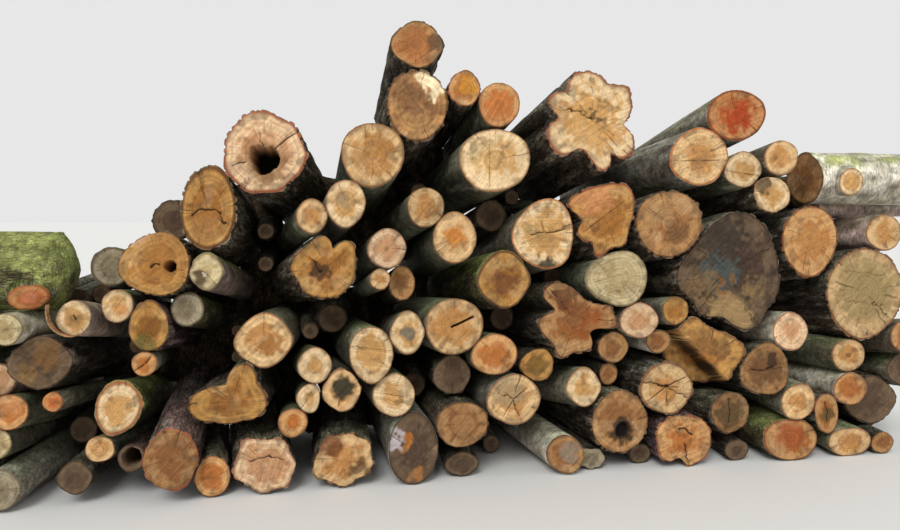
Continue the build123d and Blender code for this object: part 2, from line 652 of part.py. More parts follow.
features = {
    "hollow_trunk": lambda p: cut_hollow(p),
    "hole_log": lambda p: round_pocket(p, 62, -10, knot_hole_width, knot_hole_depth, 0.6),
    "pipe_billet": lambda p: round_pocket(p, 0, 4, pipe_hole_width, pipe_hole_depth, 0.8),
    "rot_heart_butt": lambda p: round_pocket(p, 22, -44, rot_pocket_width, rot_pocket_depth, 0.7),
    "kerf_billet": lambda p: cut_step(p, 57, 0),
    "half_pale_billet": lambda p: cut_step(p, 60, 5),
    "cream_drop": lambda p: cut_step(p, -8, 18),
    "crossed_kerf": lambda p: cut_step(p, -11, 0),
    "grey_side_round": lambda p: cut_step(p, 180, 20),
    "pale_kerf_billet": lambda p: cut_step(p, 172, 20),
    "seam_round": lambda p: cut_step(p, 90, 30),
    "slit_round": lambda p: cut_slit(p, 24, 45, 22, 118, 110),
    "notched_butt": cut_notch,
    "split_slab": cut_slab,
    "split_end_birch": cut_slice,
}


def add_stub(p, along_share, swing, width, length):
    """The sawn stub of a branch, standing out of the side of a trunk towards the front."""
    own = np.array([0.0, along_share * p.piece.length, 0.0])
    base = p.origin + own @ p.axes
    out = np.array([sin(radians(swing[0])), -cos(radians(swing[0])), sin(radians(swing[1]))])
    out /= np.linalg.norm(out)
    end = base + out * (0.5 * p.piece.wide + length)
    with BuildSketch(Plane(tuple(base), z_dir=tuple(out))) as root:
        RegularPolygon(width * 0.6, 18)
    with BuildSketch(Plane(tuple(end), z_dir=tuple(out))) as sawn:
        RegularPolygon(width * 0.48, 18)
    loft([root.sketch, sawn.sketch], ruled=True)


stubs = {
    "mossy_trunk": lambda p: add_stub(p, 0.24, (20, -30), moss_stub_width, moss_stub_length - 100),
    "birch_trunk": lambda p: add_stub(p, 0.14, (4, -6), birch_stub_width, birch_stub_length - 60),
}


def build_log(p):
    """The solid of one log: sections lofted from face to tail, then its cuts."""
    with BuildPart() as solid:
        loft(end_faces(p), ruled=True)
        if p.piece.name in stubs:
            stubs[p.piece.name](p)
        if p.piece.name in features:
            features[p.piece.name](p)
    return solid.part


stack = [Placed(piece) for piece in logs + across]
relax(stack, 80, fall=6.0, hold=0.12, stations=7, turns=30)
relax(stack, 70, fall=0.0, hold=0.0, stations=13, turns=60)
relax(stack, 24, fall=0.0, hold=0.0, stations=41, turns=120)
close_up(stack)
stack += inner_billets(stack)

skin = np.concatenate([p.surface(5, 60) for p in stack])
centre = (skin.min(axis=0) + skin.max(axis=0)) / 2
for p in stack:
    moved = p.origin - p.home
    if "inner" not in p.piece.name and np.hypot(moved[0], moved[2]) > 25:
        print(p.piece.name, "lies", round(moved[0]), "across and", round(moved[2]), "up from its reading")
    p.origin[:2] -= centre[:2]
print("front plane and eye shift", np.round(-centre[:2], 1))

# Each large log is a node of its own. The loose billets are dealt out from left to right over
# a few nodes, so that no two in one node are neighbours.
nodes = {p.piece.name: [p] for p in stack if not p.piece.loose}
billets = sorted((p for p in stack if p.piece.loose), key=lambda p: p.origin[0])
for k, letter in enumerate(billet_nodes):
    nodes[f"billets_{letter}"] = billets[k :: len(billet_nodes)]

os.makedirs("parts", exist_ok=True)
for name, members in nodes.items():
    with BuildPart() as group:
        for p in members:
            add(build_log(p))
    group.part.label = name
    export_step(group.part, f"parts/{name}.step")
print(len(stack), "logs in", len(nodes), "nodes")
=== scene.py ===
import json
import math

import bpy
import numpy as np
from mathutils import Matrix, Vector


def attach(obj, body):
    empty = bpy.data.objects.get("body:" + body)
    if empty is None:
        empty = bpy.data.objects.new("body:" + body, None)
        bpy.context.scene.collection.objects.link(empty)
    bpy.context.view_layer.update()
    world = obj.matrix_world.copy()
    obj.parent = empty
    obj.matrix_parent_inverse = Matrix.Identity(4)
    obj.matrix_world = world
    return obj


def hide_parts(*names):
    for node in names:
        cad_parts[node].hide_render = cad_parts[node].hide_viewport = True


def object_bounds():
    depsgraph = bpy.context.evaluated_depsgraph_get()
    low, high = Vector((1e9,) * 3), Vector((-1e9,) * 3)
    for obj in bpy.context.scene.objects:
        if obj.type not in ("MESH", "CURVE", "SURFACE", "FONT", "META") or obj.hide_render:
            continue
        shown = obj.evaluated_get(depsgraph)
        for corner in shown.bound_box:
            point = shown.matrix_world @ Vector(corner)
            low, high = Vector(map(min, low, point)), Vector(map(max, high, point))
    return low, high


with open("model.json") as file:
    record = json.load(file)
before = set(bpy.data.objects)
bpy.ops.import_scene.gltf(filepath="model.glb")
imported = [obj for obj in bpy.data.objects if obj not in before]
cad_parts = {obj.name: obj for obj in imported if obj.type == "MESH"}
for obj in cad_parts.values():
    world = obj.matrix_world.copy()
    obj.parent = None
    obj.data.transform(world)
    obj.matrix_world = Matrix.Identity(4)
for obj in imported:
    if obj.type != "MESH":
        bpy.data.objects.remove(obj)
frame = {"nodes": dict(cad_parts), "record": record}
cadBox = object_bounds()
cadBox = [[float(c) for c in corner] for corner in cadBox]

cameraSettings = {
    "eye": (-0.9992, -4.730, 1.485),   # metres, a standing person's eye
    "turn": 10.0,                       # degrees to the right of straight on
    "lens": 31.2,                       # millimetres on a 36 mm wide picture
    "shift": -0.0778,                   # the horizon lies above the middle of the picture
}
cameraData = bpy.data.cameras.new("camera")
cameraData.lens = cameraSettings["lens"]
cameraData.shift_y = cameraSettings["shift"]
cameraData.clip_end = 100
camera = bpy.data.objects.new("camera", cameraData)
camera.location = cameraSettings["eye"]
camera.rotation_euler = (math.radians(90), 0, -math.radians(cameraSettings["turn"]))
bpy.context.scene.collection.objects.link(camera)
bpy.context.scene.camera = camera
bpy.context.scene.view_settings.view_transform = "Standard"


def linear(hexColour):
    # each sRGB share s becomes ((s + 0.055) / 1.055) ^ 2.4, or s / 12.92 near black
    shares = np.array([int(hexColour[k:k + 2], 16) / 255 for k in (0, 2, 4)])
    return np.where(shares <= 0.04045, shares / 12.92, ((shares + 0.055) / 1.055) ** 2.4)


def latticeNoise(points, seed):
    # random values 0..1 on the corners of unit cubes, blended smoothly between the eight corners
    cell = np.floor(points).astype(np.int64)
    part = points - cell
    part = part * part * (3 - 2 * part)
    total = np.zeros(len(points))
    for corner in range(8):
        step = np.array([corner & 1, corner >> 1 & 1, corner >> 2])
        x, y, z = (cell + step).T
        value = (x * 374761393 + y * 668265263 + z * 1440662683 + seed * 1274126177) & 0xFFFFFFFF
        value = ((value ^ (value >> 13)) * 1103515245) & 0xFFFFFFFF
        value = ((value ^ (value >> 16)) & 0xFFFF) / 65535
        total += value * np.prod(np.where(step == 1, part, 1 - part), axis=1)
    return total


def fractal(points, seed, octaves=3):
    # each octave is twice as fine and half as strong as the one before, all scaled back to 0..1
    total, weight, size = np.zeros(len(points)), 0.0, 1.0
    for octave in range(octaves):
        total += latticeNoise(points * 2 ** octave, seed + 17 * octave) * size
        weight += size
        size *= 0.5
    return total / weight


def flatPoints(u, v):
    return np.column_stack([u, v, np.zeros(len(u))])


def smoothStep(low, high, value):
    # 0 below low, 1 above high, 3t^2 - 2t^3 between
    share = np.clip((value - low) / (high - low), 0, 1)
    return share * share * (3 - 2 * share)


def mixColour(base, colour, share):
    return base + (colour - base) * np.asarray(share)[:, None]


# How a packed log is read: its outline is kept as one radius every half degree
outlineSteps = 720
outlineDegrees = np.arange(outlineSteps) / 2


def solidsOf(node):
    # the node's corners with doubles merged, split into the sets that share triangles
    mesh = frame["nodes"][node].data
    points = np.empty(len(mesh.vertices) * 3)
    mesh.vertices.foreach_get("co", points)
    mesh.calc_loop_triangles()
    triangles = np.empty(len(mesh.loop_triangles) * 3, dtype=np.int64)
    mesh.loop_triangles.foreach_get("vertices", triangles)
    keys, which = np.unique(np.round(points.reshape(-1, 3), 5), axis=0, return_inverse=True)
    triangles = which.ravel()[triangles].reshape(-1, 3)
    label = np.arange(len(keys))
    while True:
        lowest = label[triangles].min(axis=1)
        before = label.copy()
        for side in range(3):
            np.minimum.at(label, triangles[:, side], lowest)
        if (before == label).all():
            break
    for solid in np.unique(label[triangles[:, 0]]):
        yield keys, triangles[label[triangles[:, 0]] == solid]


def longEdgesOf(keys, triangles):
    # the edges that run from the sawn face to the tail, as pairs of corners in that order
    sides = np.vstack([triangles[:, [0, 1]], triangles[:, [1, 2]], triangles[:, [2, 0]]])
    edges = np.unique(np.sort(sides), axis=0)
    length = np.linalg.norm(keys[edges[:, 1]] - keys[edges[:, 0]], axis=1)
    long = edges[length > 0.55 * length.max()]
    swapped = keys[long[:, 1], 1] < keys[long[:, 0], 1]
    long[swapped] = long[swapped][:, ::-1]
    return long


def tailCentreOf(flat, count):
    # the true centre: every corner is seen from it at a whole step of the angle
    step = 2 * math.pi / count
    centre = flat.mean(axis=0)
    for _ in range(12):
        angle = np.arctan2(flat[:, 1] - centre[1], flat[:, 0] - centre[0])
        whole = np.round(angle / step) * step
        normals = np.column_stack([-np.sin(whole), np.cos(whole)])
        centre = np.linalg.lstsq(normals, (normals * flat).sum(axis=1), rcond=None)[0]
    return centre


def outlineOf(offset, count):
    # the radii between the corners, rounded over nearly half a facet to each side
    angle = np.degrees(np.arctan2(offset[:, 1], offset[:, 0])) % 360
    radius = np.hypot(offset[:, 0], offset[:, 1])
    order = np.argsort(angle)
    angle, radius = angle[order], radius[order]
    angle = np.r_[angle[-1] - 360, angle, angle[0] + 360]
    radii = np.interp(outlineDegrees, angle, np.r_[radius[-1], radius, radius[0]])
    reach = int(outlineSteps / count * 0.45)
    window = np.hanning(2 * reach + 3)[1:-1]
    wrapped = np.r_[radii[-reach:], radii, radii[:reach]]
    return np.convolve(wrapped, window / window.sum(), mode="valid")


def narrowingOf(slope, drift, home):
    # least squares of slope - drift against the corner's place about the centre
    return float(((slope - drift) * home).sum() / (home * home).sum())


def driftOf(slope, home, corners):
    # the slope of the long edges at the centre and how it changes with the corner's place; of the edges
    # that end at one tail corner, only the one that fits best is counted
    drift = np.median(slope, axis=0)
    for _ in range(4):
        error = np.linalg.norm(slope - drift - narrowingOf(slope, drift, home) * home, axis=1)
        best = np.full(corners.max() + 1, np.inf)
        np.minimum.at(best, corners, error)
        chosen = error <= best[corners] + 1e-9
        slopes, homes = slope[chosen], home[chosen]
        drift = np.median(slopes - narrowingOf(slopes, drift, homes) * homes, axis=0)
    return drift, narrowingOf(slopes, drift, homes)


def outwardOf(lean):
    # the way a face looks when it is turned to the side and up by two angles
    side, up = np.radians(lean)
    outward = np.array([math.sin(side), -math.cos(side) * math.cos(up), math.sin(up)])
    return outward / np.linalg.norm(outward)


def readLog(keys, triangles, lean, turned):
    # where a log starts and which way it runs, with its outline, drift and taper
    long = longEdgesOf(keys, triangles)
    along = np.array([0.0, 1.0, 0.0])
    if turned:
        # a trunk across the stack: the way of its long edges, laid level
        along = (keys[long[:, 1]] - keys[long[:, 0]]).mean(axis=0) * (1, 1, 0)
        along /= np.linalg.norm(along)
    axes = np.array([[along[1], -along[0], 0.0], along, [0.0, 0.0, 1.0]])
    across = axes[[0, 2]]
    far = keys[long[:, 1]] @ along
    long = long[far > far.max() - 0.001]
    starts, ends = keys[long[:, 0]], keys[long[:, 1]]
    tail = keys[np.unique(long[:, 1])]
    middle = tail.mean(axis=0)
    flat = (tail - middle) @ across.T
    count = 60 if len(tail) > 45 else 30
    centre = tailCentreOf(flat, count)
    tailRadii = outlineOf(flat - centre, count)
    run = (ends - starts) @ axes.T
    drift, narrowing = driftOf(run[:, [0, 2]] / run[:, 1:2], (ends - middle) @ across.T - centre, long[:, 1])
    # the sawn plane leans by two angles and passes through the corners that lie farthest out
    outward = -along if turned else outwardOf(lean)
    heights = np.sort(starts @ outward)
    plane = heights[int(len(heights) * 0.9)]
    tailCentre = middle + centre @ across
    axis = along + drift @ across
    length = (tailCentre @ outward - plane) / (axis @ outward)
    taper = 1 / (1 - narrowing * length)
    return {
        "origin": tailCentre - axis * length, "axes": axes, "drift": drift, "length": length, "taper": taper,
        "faceOut": axes @ outward, "radii": tailRadii / taper, "reach": float(tailRadii.mean() / taper),
    }


# heart and sap are the sawn wood, rim is the inner bark, stain the weathering
woodKinds = {
    "tan": {"heart": "b8854e", "sap": "d3ae7c", "rim": "7d4a2a", "stain": "8a6641"},
    "cream": {"heart": "c4955a", "sap": "dec094", "rim": "8d5a33", "stain": "9b8159"},
    "orange": {"heart": "ad6a34", "sap": "c99862", "rim": "844423", "stain": "8f572c"},
    "bright": {"heart": "bb6430", "sap": "ca8c56", "rim": "a04c24", "stain": "a35c30"},
    "golden": {"heart": "a06a30", "sap": "bb8b4c", "rim": "6b3f20", "stain": "6a4524"},
    "brown": {"heart": "8b5c34", "sap": "a87c4e", "rim": "5c3a22", "stain": "503a28"},
    "dark": {"heart": "584434", "sap": "6f5a44", "rim": "3d2c20", "stain": "2f261f"},
    "grey": {"heart": "8a7c62", "sap": "a2967c", "rim": "665541", "stain": "5e5647"},
    "pink": {"heart": "c08f66", "sap": "d8b58e", "rim": "96593f", "stain": "90705a"},
    "pale": {"heart": "ad9669", "sap": "c9b68c", "rim": "7d6a48", "stain": "8f7d58"},
}
# high and low are the plates and the crevices, the low colour partly darker bark and partly painted shade;
# top is what grows on the upper side; grain, height and thick are the size of the relief, its depth and the
# jacket's share of the log
barkKinds = {
    "furrowed": {"high": "998b77", "low": "372d23", "top": "7a7a60",
                 "grain": 0.026, "height": 0.01, "thick": 0.05},
    "smooth": {"high": "8d8672", "low": "484238", "top": "75795a",
               "grain": 0.11, "height": 0.002, "thick": 0.026},
    "green": {"high": "7f8067", "low": "3f4034", "top": "808a5c",
              "grain": 0.1, "height": 0.002, "thick": 0.026},
    "birch": {"high": "e4dccb", "low": "a2967f", "top": "bbbf9c",
              "grain": 0.07, "height": 0.002, "thick": 0.032},
    "pinkish": {"high": "c0a69a", "low": "7d695f", "top": "8d8a66",
                "grain": 0.06, "height": 0.003, "thick": 0.032},
    "purple": {"high": "98797a", "low": "3b2b2d", "top": "a08478",
               "grain": 0.04, "height": 0.007, "thick": 0.045},
    "mossy": {"high": "77704a", "low": "3a3726", "top": "7c8540",
              "grain": 0.034, "height": 0.006, "thick": 0.04},
    "dark": {"high": "6f6455", "low": "2a231c", "top": "686752",
             "grain": 0.03, "height": 0.007, "thick": 0.042},
    "grey": {"high": "a19b8c", "low": "56524a", "top": "8b8f74",
             "grain": 0.06, "height": 0.003, "thick": 0.032},
}

# How far each sawn face looks to the side and up, in degrees; the others look straight forward
faceLeans = {
    "orange_billet": (6, 5), "broken_butt": (-5, 6), "dark_butt": (4, 4), "split_end_birch": (-8, 10),
    "square_butt": (3, 3), "moss_edge_butt": (0, 8), "striped_billet": (8, 0), "cream_teardrop": (5, 3),
    "flat_log": (0, -6), "crossed_kerf": (-6, 4), "brown_oval": (3, 3), "weathered_round": (-4, 0),
    "pale_billet": (-8, 2), "cracked_round": (-3, 2), "rotten_brown": (8, 4), "peeled_billet": (8, 5),
    "tan_double": (4, 0), "hole_log": (5, 3), "tall_egg": (6, 2), "hollow_trunk": (4, 0),
    "tan_round": (0, -3), "pinkish_round": (-4, 0), "cream_drop": (-5, 5), "slit_round": (-3, 0),
    "orange_round": (4, 2), "moss_side_log": (-4, 3), "speckled_cream": (-3, 0), "seam_round": (-5, 0),
    "pink_round": (-3, 2), "pale_green_round": (0, 3), "mottled_round": (-3, 0), "birch_billet": (-6, 2),
    "green_side_billet": (-6, 0), "pointed_orange": (0, -3), "pink_side_billet": (-8, 0),
    "oval_crescent": (4, -2), "bright_orange_round": (0, -3), "grey_side_round": (-5, 0),
    "red_orange_round": (4, -4),
}
trunksAcross = ("mossy_trunk", "birch_trunk", "pink_pole")

# Each log's looks, with x to the right and z up on its face. cracks are (points in shares of the mean
# radius, width mm), stains (x, z and size in shares of the mean radius, colour, strength), steps that the saw
# left (direction, offset mm, depth mm), holes (x, z, radius and depth mm), slit (direction, x, z, length and
# depth mm), slot (direction, mm behind the face, radii past the middle that it cuts), hollow (depth mm),
# notch (direction, slope, depth mm), slab (direction, offset mm, drop mm). Directions, slopes and saw, the
# way of the saw's marks, are in degrees.
logLooks = {
    "ground_log_left": {"wood": "grey", "bark": "grey"},
    "edge_log_low": {"wood": "pale", "bark": "smooth"},
    "ground_log_small": {"wood": "dark", "bark": "dark"},
    "ochre_billet": {"wood": "tan", "bark": "green"},
    "pipe_billet": {"wood": "dark", "bark": "purple", "holes": [(0, 4, 42, 240)]},
    "leaning_log": {"wood": "brown", "bark": "purple", "rim": "9a4a2a", "lichen": .6},
    "orange_billet": {"wood": "orange", "bark": "furrowed", "saw": 30},
    "broken_butt": {"wood": "pink", "bark": "furrowed", "saw": 70,
        "cracks": [([(-.5, .1), (.1, .25), (.6, .1)], 4)]},
    "crumbling_butt": {"wood": "tan", "bark": "furrowed", "rough": 9,
        "stains": [(-.4, .5, .5, "6b3a22", .8), (.5, -.3, .35, "4a3122", .7)]},
    "dark_butt": {"wood": "dark", "bark": "grey", "rough": 6, "light": .95,
        "stains": [(-.12, .5, .13, "b06c2c", .9), (-.08, .25, .12, "b06c2c", .9),
        (-.35, .05, .1, "a8713f", .7), (.05, -.8, .26, "ad7340", .8), (-.72, .3, .3, "c4b9bb", .85),
        (-.55, .65, .2, "bfb3b4", .8), (.8, -.1, .2, "9c8062", .6)]},
    "low_prop_middle": {"wood": "dark", "bark": "dark"},
    "low_prop_right": {"wood": "dark", "bark": "dark"},
    "low_prop_grass": {"wood": "dark", "bark": "dark"},
    "split_end_birch": {"wood": "brown", "bark": "birch", "slot": (38, 34, .1),
        "stains": [(.2, .1, .6, "8b8474", .6)]},
    "crumbly_stub": {"wood": "grey", "bark": "dark", "rough": 7},
    "square_butt": {"wood": "orange", "bark": "purple", "saw": 15,
        "cracks": [([(-.15, .45), (.1, .38), (.35, .2)], 9), ([(0.0, -.1), (.1, -.7)], 4)]},
    "moss_edge_butt": {"wood": "orange", "bark": "mossy", "saw": 80, "moss": .45, "light": .86,
        "rim": "7d4128", "stains": [(0, .1, .7, "a3522a", .7), (-.5, -.5, .4, "b98a5c", .6)]},
    "grass_edge_log": {"wood": "tan", "bark": "green"},
    "low_brown_billet": {"wood": "brown", "bark": "dark"},
    "striped_billet": {"wood": "orange", "bark": "green", "saw": 40},
    "long_billet": {"wood": "bright", "bark": "smooth"},
    "cream_teardrop": {"wood": "cream", "bark": "mossy", "thick": .11, "moss": .35, "rings": 1.5,
        "rim": "96592f"},
    "flat_log": {"wood": "golden", "bark": "furrowed", "saw": 5,
        "stains": [(-.2, -.1, .5, "8a5c2c", .5)]},
    "orange_heart_billet": {"wood": "orange", "bark": "green", "stains": [(0, 0, .5, "bf6f2f", .6)]},
    "half_pale_billet": {"wood": "cream", "bark": "green", "steps": [(60, 5, 7)]},
    "rotten_ring": {"wood": "tan", "bark": "dark", "rough": 5, "stains": [(0, .1, .62, "2c3022", .95)]},
    "crossed_kerf": {"wood": "cream", "bark": "green", "steps": [(-11, 0, 7)], "saw": -11},
    "brown_oval": {"wood": "brown", "bark": "dark", "stains": [(0, 0, .5, "ad8455", .6)]},
    "weathered_round": {"wood": "tan", "bark": "grey", "cracks": [([(0, 0), (.5, .4)], 3),
        ([(0, 0), (-.6, .3)], 3), ([(0, 0), (.2, -.7)], 3), ([(0, 0), (-.35, -.6)], 2)],
        "stains": [(-.2, .3, .7, "8f8265", .6)]},
    "pale_billet": {"wood": "cream", "bark": "smooth"},
    "hidden_billet": {"wood": "brown", "bark": "dark"},
    "rot_heart_butt": {"wood": "brown", "bark": "furrowed", "holes": [(22, -44, 46, 45)],
        "stains": [(.1, -.25, .5, "33261c", .9)]},
    "cracked_round": {"wood": "tan", "bark": "dark", "thick": .07, "light": .9,
        "cracks": [([(0, .05), (.75, .4)], 4), ([(0, .05), (-.85, .25)], 5), ([(0, .05), (-.7, -.45)], 3),
        ([(0, .05), (0.0, -.8)], 2), ([(0, .05), (.8, -.35)], 4), ([(-.3, .1), (.45, .02)], 3)]},
    "olive_round": {"wood": "brown", "bark": "dark", "light": .7, "stains": [(0, 0, .8, "5f5636", .6)],
        "cracks": [([(-.05, .7), (0, 0), (-.1, -.5)], 3)]},
    "dark_brown_butt": {"wood": "brown", "bark": "dark", "light": .85,
        "stains": [(0, .1, .8, "6a4c2e", .6), (.2, .3, .25, "3a281c", .8)],
        "cracks": [([(-.6, 0), (-.1, -.05), (.3, .1)], 4)]},
    "tan_bean": {"wood": "tan", "bark": "smooth"},
    "orange_green_split": {"wood": "orange", "bark": "dark", "light": .8,
        "stains": [(.1, -.2, .5, "4f5230", .7)], "cracks": [([(-.1, .6), (.1, 0), (0, -.6)], 4)]},
    "shadow_log": {"wood": "dark", "bark": "dark"},
    "pink_birch": {"wood": "pink", "bark": "pinkish"},
    "rotten_brown": {"wood": "dark", "bark": "dark", "rough": 10, "stains": [(.2, .3, .6, "7d5a33", .7),
        (-.3, -.4, .4, "8a6a3e", .6)]},
    "green_bark_log": {"wood": "pale", "bark": "birch", "moss": .3},
    "orange_crack_billet": {"wood": "orange", "bark": "smooth",
        "cracks": [([(-.7, -.5), (-.1, -.1), (.2, .15), (.6, .75)], 4)]},
    "peeled_billet": {"wood": "cream", "bark": "pinkish", "thick": .02, "saw": 25,
        "cracks": [([(-.05, .12), (.05, -.1)], 7)]},
    "kerf_billet": {"wood": "cream", "bark": "green", "steps": [(57, 0, 7)], "saw": 57,
        "stains": [(.2, -.3, .5, "cf8a4a", .5)]},
    "dark_heart_egg": {"wood": "golden", "bark": "purple", "rings": 2,
        "stains": [(.1, .15, .62, "80521f", .8), (-.2, -.75, .5, "5d5a2a", .7)]},
    "grey_billet": {"wood": "grey", "bark": "mossy", "saw": 60, "moss": .4},
    "tan_double": {"wood": "tan", "bark": "smooth", "saw": 40, "stains": [(.3, -.25, .38, "96622f", .8)]},
    "cream_billet": {"wood": "cream", "bark": "green"},
    "hole_log": {"wood": "golden", "bark": "furrowed", "saw": 35, "thick": .035,
        "holes": [(62, -10, 27, 180)], "cracks": [([(.1, 0), (-.1, -.02), (-.16, -.1)], 9)],
        "stains": [(-.55, .8, .3, "cfa77c", .8), (.2, .2, .9, "a5733c", .5)]},
    "moss_back_log": {"wood": "grey", "bark": "mossy", "moss": .7},
    "half_rotten_billet": {"wood": "pale", "bark": "pinkish", "rough": 4, "moss": .3,
        "stains": [(-.35, -.4, .55, "54442f", .95), (-.1, -.2, .12, "d8ccb4", .8)]},
    "tall_egg": {"wood": "golden", "bark": "furrowed", "thick": .09, "saw": 30,
        "cracks": [([(-.5, -.15), (-.3, .05), (.1, .08), (.35, -.05), (.45, -.35)], 6)],
        "stains": [(-.1, -.55, .5, "a97a48", .6), (.55, .2, .25, "b98f55", .6)]},
    "hollow_trunk": {"wood": "pink", "bark": "furrowed", "thick": .06, "rim": "94492a", "saw": 50,
        "light": 1.12, "hollow": 250, "cracks": [([(.25, .1), (.5, .35), (.75, .5)], 5),
        ([(-.4, -.2), (-.75, -.3)], 4), ([(0, .2), (-.15, .6)], 3)],
        "stains": [(0, -.2, .62, "7d5a36", .55)]},
    "brown_butt": {"wood": "golden", "bark": "furrowed", "thick": .05,
        "stains": [(-.15, -.1, .35, "3d2818", .85), (.5, .2, .3, "8a5a2b", .6)],
        "cracks": [([(-.1, -.1), (-.5, .35)], 5)]},
    "yawed_billet": {"wood": "tan", "bark": "green"},
    "grey_pointed": {"wood": "cream", "bark": "smooth", "stains": [(-.1, .1, .42, "8f7c5e", .7)]},
    "tan_round": {"wood": "tan", "bark": "green", "thick": .028, "rim": "8a4f2c", "saw": 60,
        "stains": [(.1, .3, .5, "a9763c", .6)]},
    "small_round": {"wood": "tan", "bark": "green"},
    "dark_tan_billet": {"wood": "brown", "bark": "dark"},
    "pinkish_round": {"wood": "pink", "bark": "green", "rim": "7d4a34"},
    "tan_billet": {"wood": "tan", "bark": "green"},
    "egg_round": {"wood": "tan", "bark": "green", "stains": [(0, .1, .42, "c2772f", .75)]},
    "rotten_centre": {"wood": "cream", "bark": "smooth", "stains": [(0, 0, .42, "6b665a", .9)]},
    "cream_drop": {"wood": "cream", "bark": "green", "steps": [(-8, 18, 7)], "saw": -8},
    "slit_round": {"wood": "tan", "bark": "green", "slit": (24, 45, 22, 118, 50),
        "stains": [(0, 0, .7, "bd8748", .5)]},
    "shadow_round": {"wood": "dark", "bark": "dark"},
    "orange_round": {"wood": "orange", "bark": "green", "saw": 70},
    "ochre_round": {"wood": "golden", "bark": "dark", "stains": [(0, 0, .8, "6b5a2c", .6)]},
    "moss_side_log": {"wood": "golden", "bark": "mossy", "moss": .7, "light": .85,
        "stains": [(0, 0, .5, "74492a", .8), (-.5, .5, .4, "b98f58", .5)]},
    "speckled_cream": {"wood": "cream", "bark": "smooth", "thick": .035, "rim": "b0662f", "saw": 0,
        "cracks": [([(-.4, .02), (.1, .04), (.6, .14)], 4), ([(0.0, .1), (-.05, .4)], 3)],
        "stains": [(.05, -.3, .45, "a57c4c", .6), (0, -.95, .35, "2c2a20", .9),
        (-.35, .15, .2, "8d7a55", .6)]},
    "seam_round": {"wood": "cream", "bark": "green", "thick": .03, "steps": [(90, 30, 7)], "saw": 55,
        "light": 1.12, "stains": [(-.6, .35, .22, "6f6650", .7), (-.3, .2, .5, "b89a66", .5)]},
    "bone_butt": {"wood": "orange", "bark": "furrowed", "saw": 20, "light": .72, "rim": "6b3420",
        "stains": [(0, .2, .5, "8f5a30", .7), (.5, -.1, .5, "a85a28", .6), (-.3, .7, .4, "6d4326", .8)]},
    "brown_round": {"wood": "brown", "bark": "dark"},
    "olive_billet": {"wood": "brown", "bark": "birch"},
    "pink_round": {"wood": "pink", "bark": "smooth"},
    "ring_billet": {"wood": "golden", "bark": "smooth", "rings": 2.2},
    "split_slab": {"wood": "golden", "bark": "furrowed", "slab": (-44, -38, 190), "saw": 44,
        "stains": [(-.3, .4, .5, "7a5a36", .6), (.4, .1, .4, "6d5132", .6)]},
    "pale_green_round": {"wood": "pale", "bark": "green", "saw": 10, "rings": 1.4, "light": .88,
        "stains": [(.3, .3, .5, "cdb98a", .6)]},
    "notched_butt": {"wood": "golden", "bark": "furrowed", "thick": .06, "rim": "8c4a2c",
        "notch": (36, 24, 12), "saw": 36, "stains": [(-.3, .75, .7, "c98a5c", .7)]},
    "mottled_round": {"wood": "brown", "bark": "furrowed", "thick": .05, "rough": 3,
        "stains": [(-.3, .3, .5, "a9855a", .6), (.3, -.3, .45, "6f5032", .6),
        (.4, .5, .3, "b5946a", .5)]},
    "giant_butt": {"wood": "dark", "bark": "furrowed", "thick": .035, "rough": 7, "weather": .8,
        "light": .9, "stains": [(.3, .1, .55, "46342a", .7), (-.1, .6, .5, "3a3127", .8),
        (-.15, -.05, .42, "515a56", .75), (-.45, -.25, .28, "86683f", .6), (.1, -.75, .45, "a98a5c", .85),
        (-.05, -.2, .12, "8a5a30", .7), (.45, -.35, .2, "8d7148", .6)]},
    "birch_billet": {"wood": "pink", "bark": "birch"},
    "green_side_billet": {"wood": "tan", "bark": "green"},
    "edge_orange_log": {"wood": "orange", "bark": "smooth"},
    "edge_green_log": {"wood": "dark", "bark": "green"},
    "white_side_billet": {"wood": "orange", "bark": "birch"},
    "broad_heartwood": {"wood": "tan", "bark": "dark", "rings": 1.6, "light": .9,
        "stains": [(.03, .03, .88, "a38f62", .8), (.1, 0, .5, "937c52", .4)],
        "cracks": [([(-.5, .45), (.55, .35)], 2), ([(-.45, -.2), (.5, -.35)], 2)]},
    "pointed_orange": {"wood": "orange", "bark": "dark", "saw": 25,
        "stains": [(0, -.1, .6, "bd8a50", .6)]},
    "pink_side_billet": {"wood": "tan", "bark": "pinkish", "rings": 1.5},
    "oval_crescent": {"wood": "brown", "bark": "furrowed", "rough": 10, "thick": .06, "weather": .7,
        "light": 1.3, "stains": [(-.1, .1, .8, "7a5a3c", .6), (.2, .8, .34, "e6cfa8", .95),
        (.55, .6, .4, "e6cfa8", .95), (0.0, -.5, .5, "a47d4e", .7), (-.1, -.2, .13, "6b4a35", .7)]},
    "top_log": {"wood": "brown", "bark": "dark", "light": 1.2, "rim": "4b3524", "saw": 35,
        "stains": [(-.1, -.1, .8, "a5683a", .6), (.75, .1, .4, "4d3c2d", .7)]},
    "yellow_billet": {"wood": "orange", "bark": "dark", "stains": [(.2, .1, .6, "d19432", .6)]},
    "bright_orange_round": {"wood": "orange", "bark": "green", "saw": 60, "light": 1.02,
        "stains": [(0, 0, .9, "cb7c42", .6)]},
    "star_butt": {"wood": "cream", "bark": "furrowed", "thick": .06, "rim": "8c4326", "saw": 30,
        "light": 1.1, "cracks": [([(0, .04), (-.3, .18), (-.55, .2), (-.9, .3)], 4)],
        "stains": [(.02, .05, .14, "4a3a24", .8), (-.2, -.35, .35, "cda26c", .5),
        (.5, -.3, .3, "c58f55", .6), (-.75, .1, .3, "a57748", .6)]},
    "grey_side_round": {"wood": "tan", "bark": "grey", "rim": "a8602f", "thick": .05,
        "steps": [(180, 20, 7)], "saw": 10, "stains": [(0, -.1, .3, "9a7148", .7)]},
    "red_orange_round": {"wood": "bright", "bark": "smooth", "saw": 25, "rim": "9a3f1e", "light": .86,
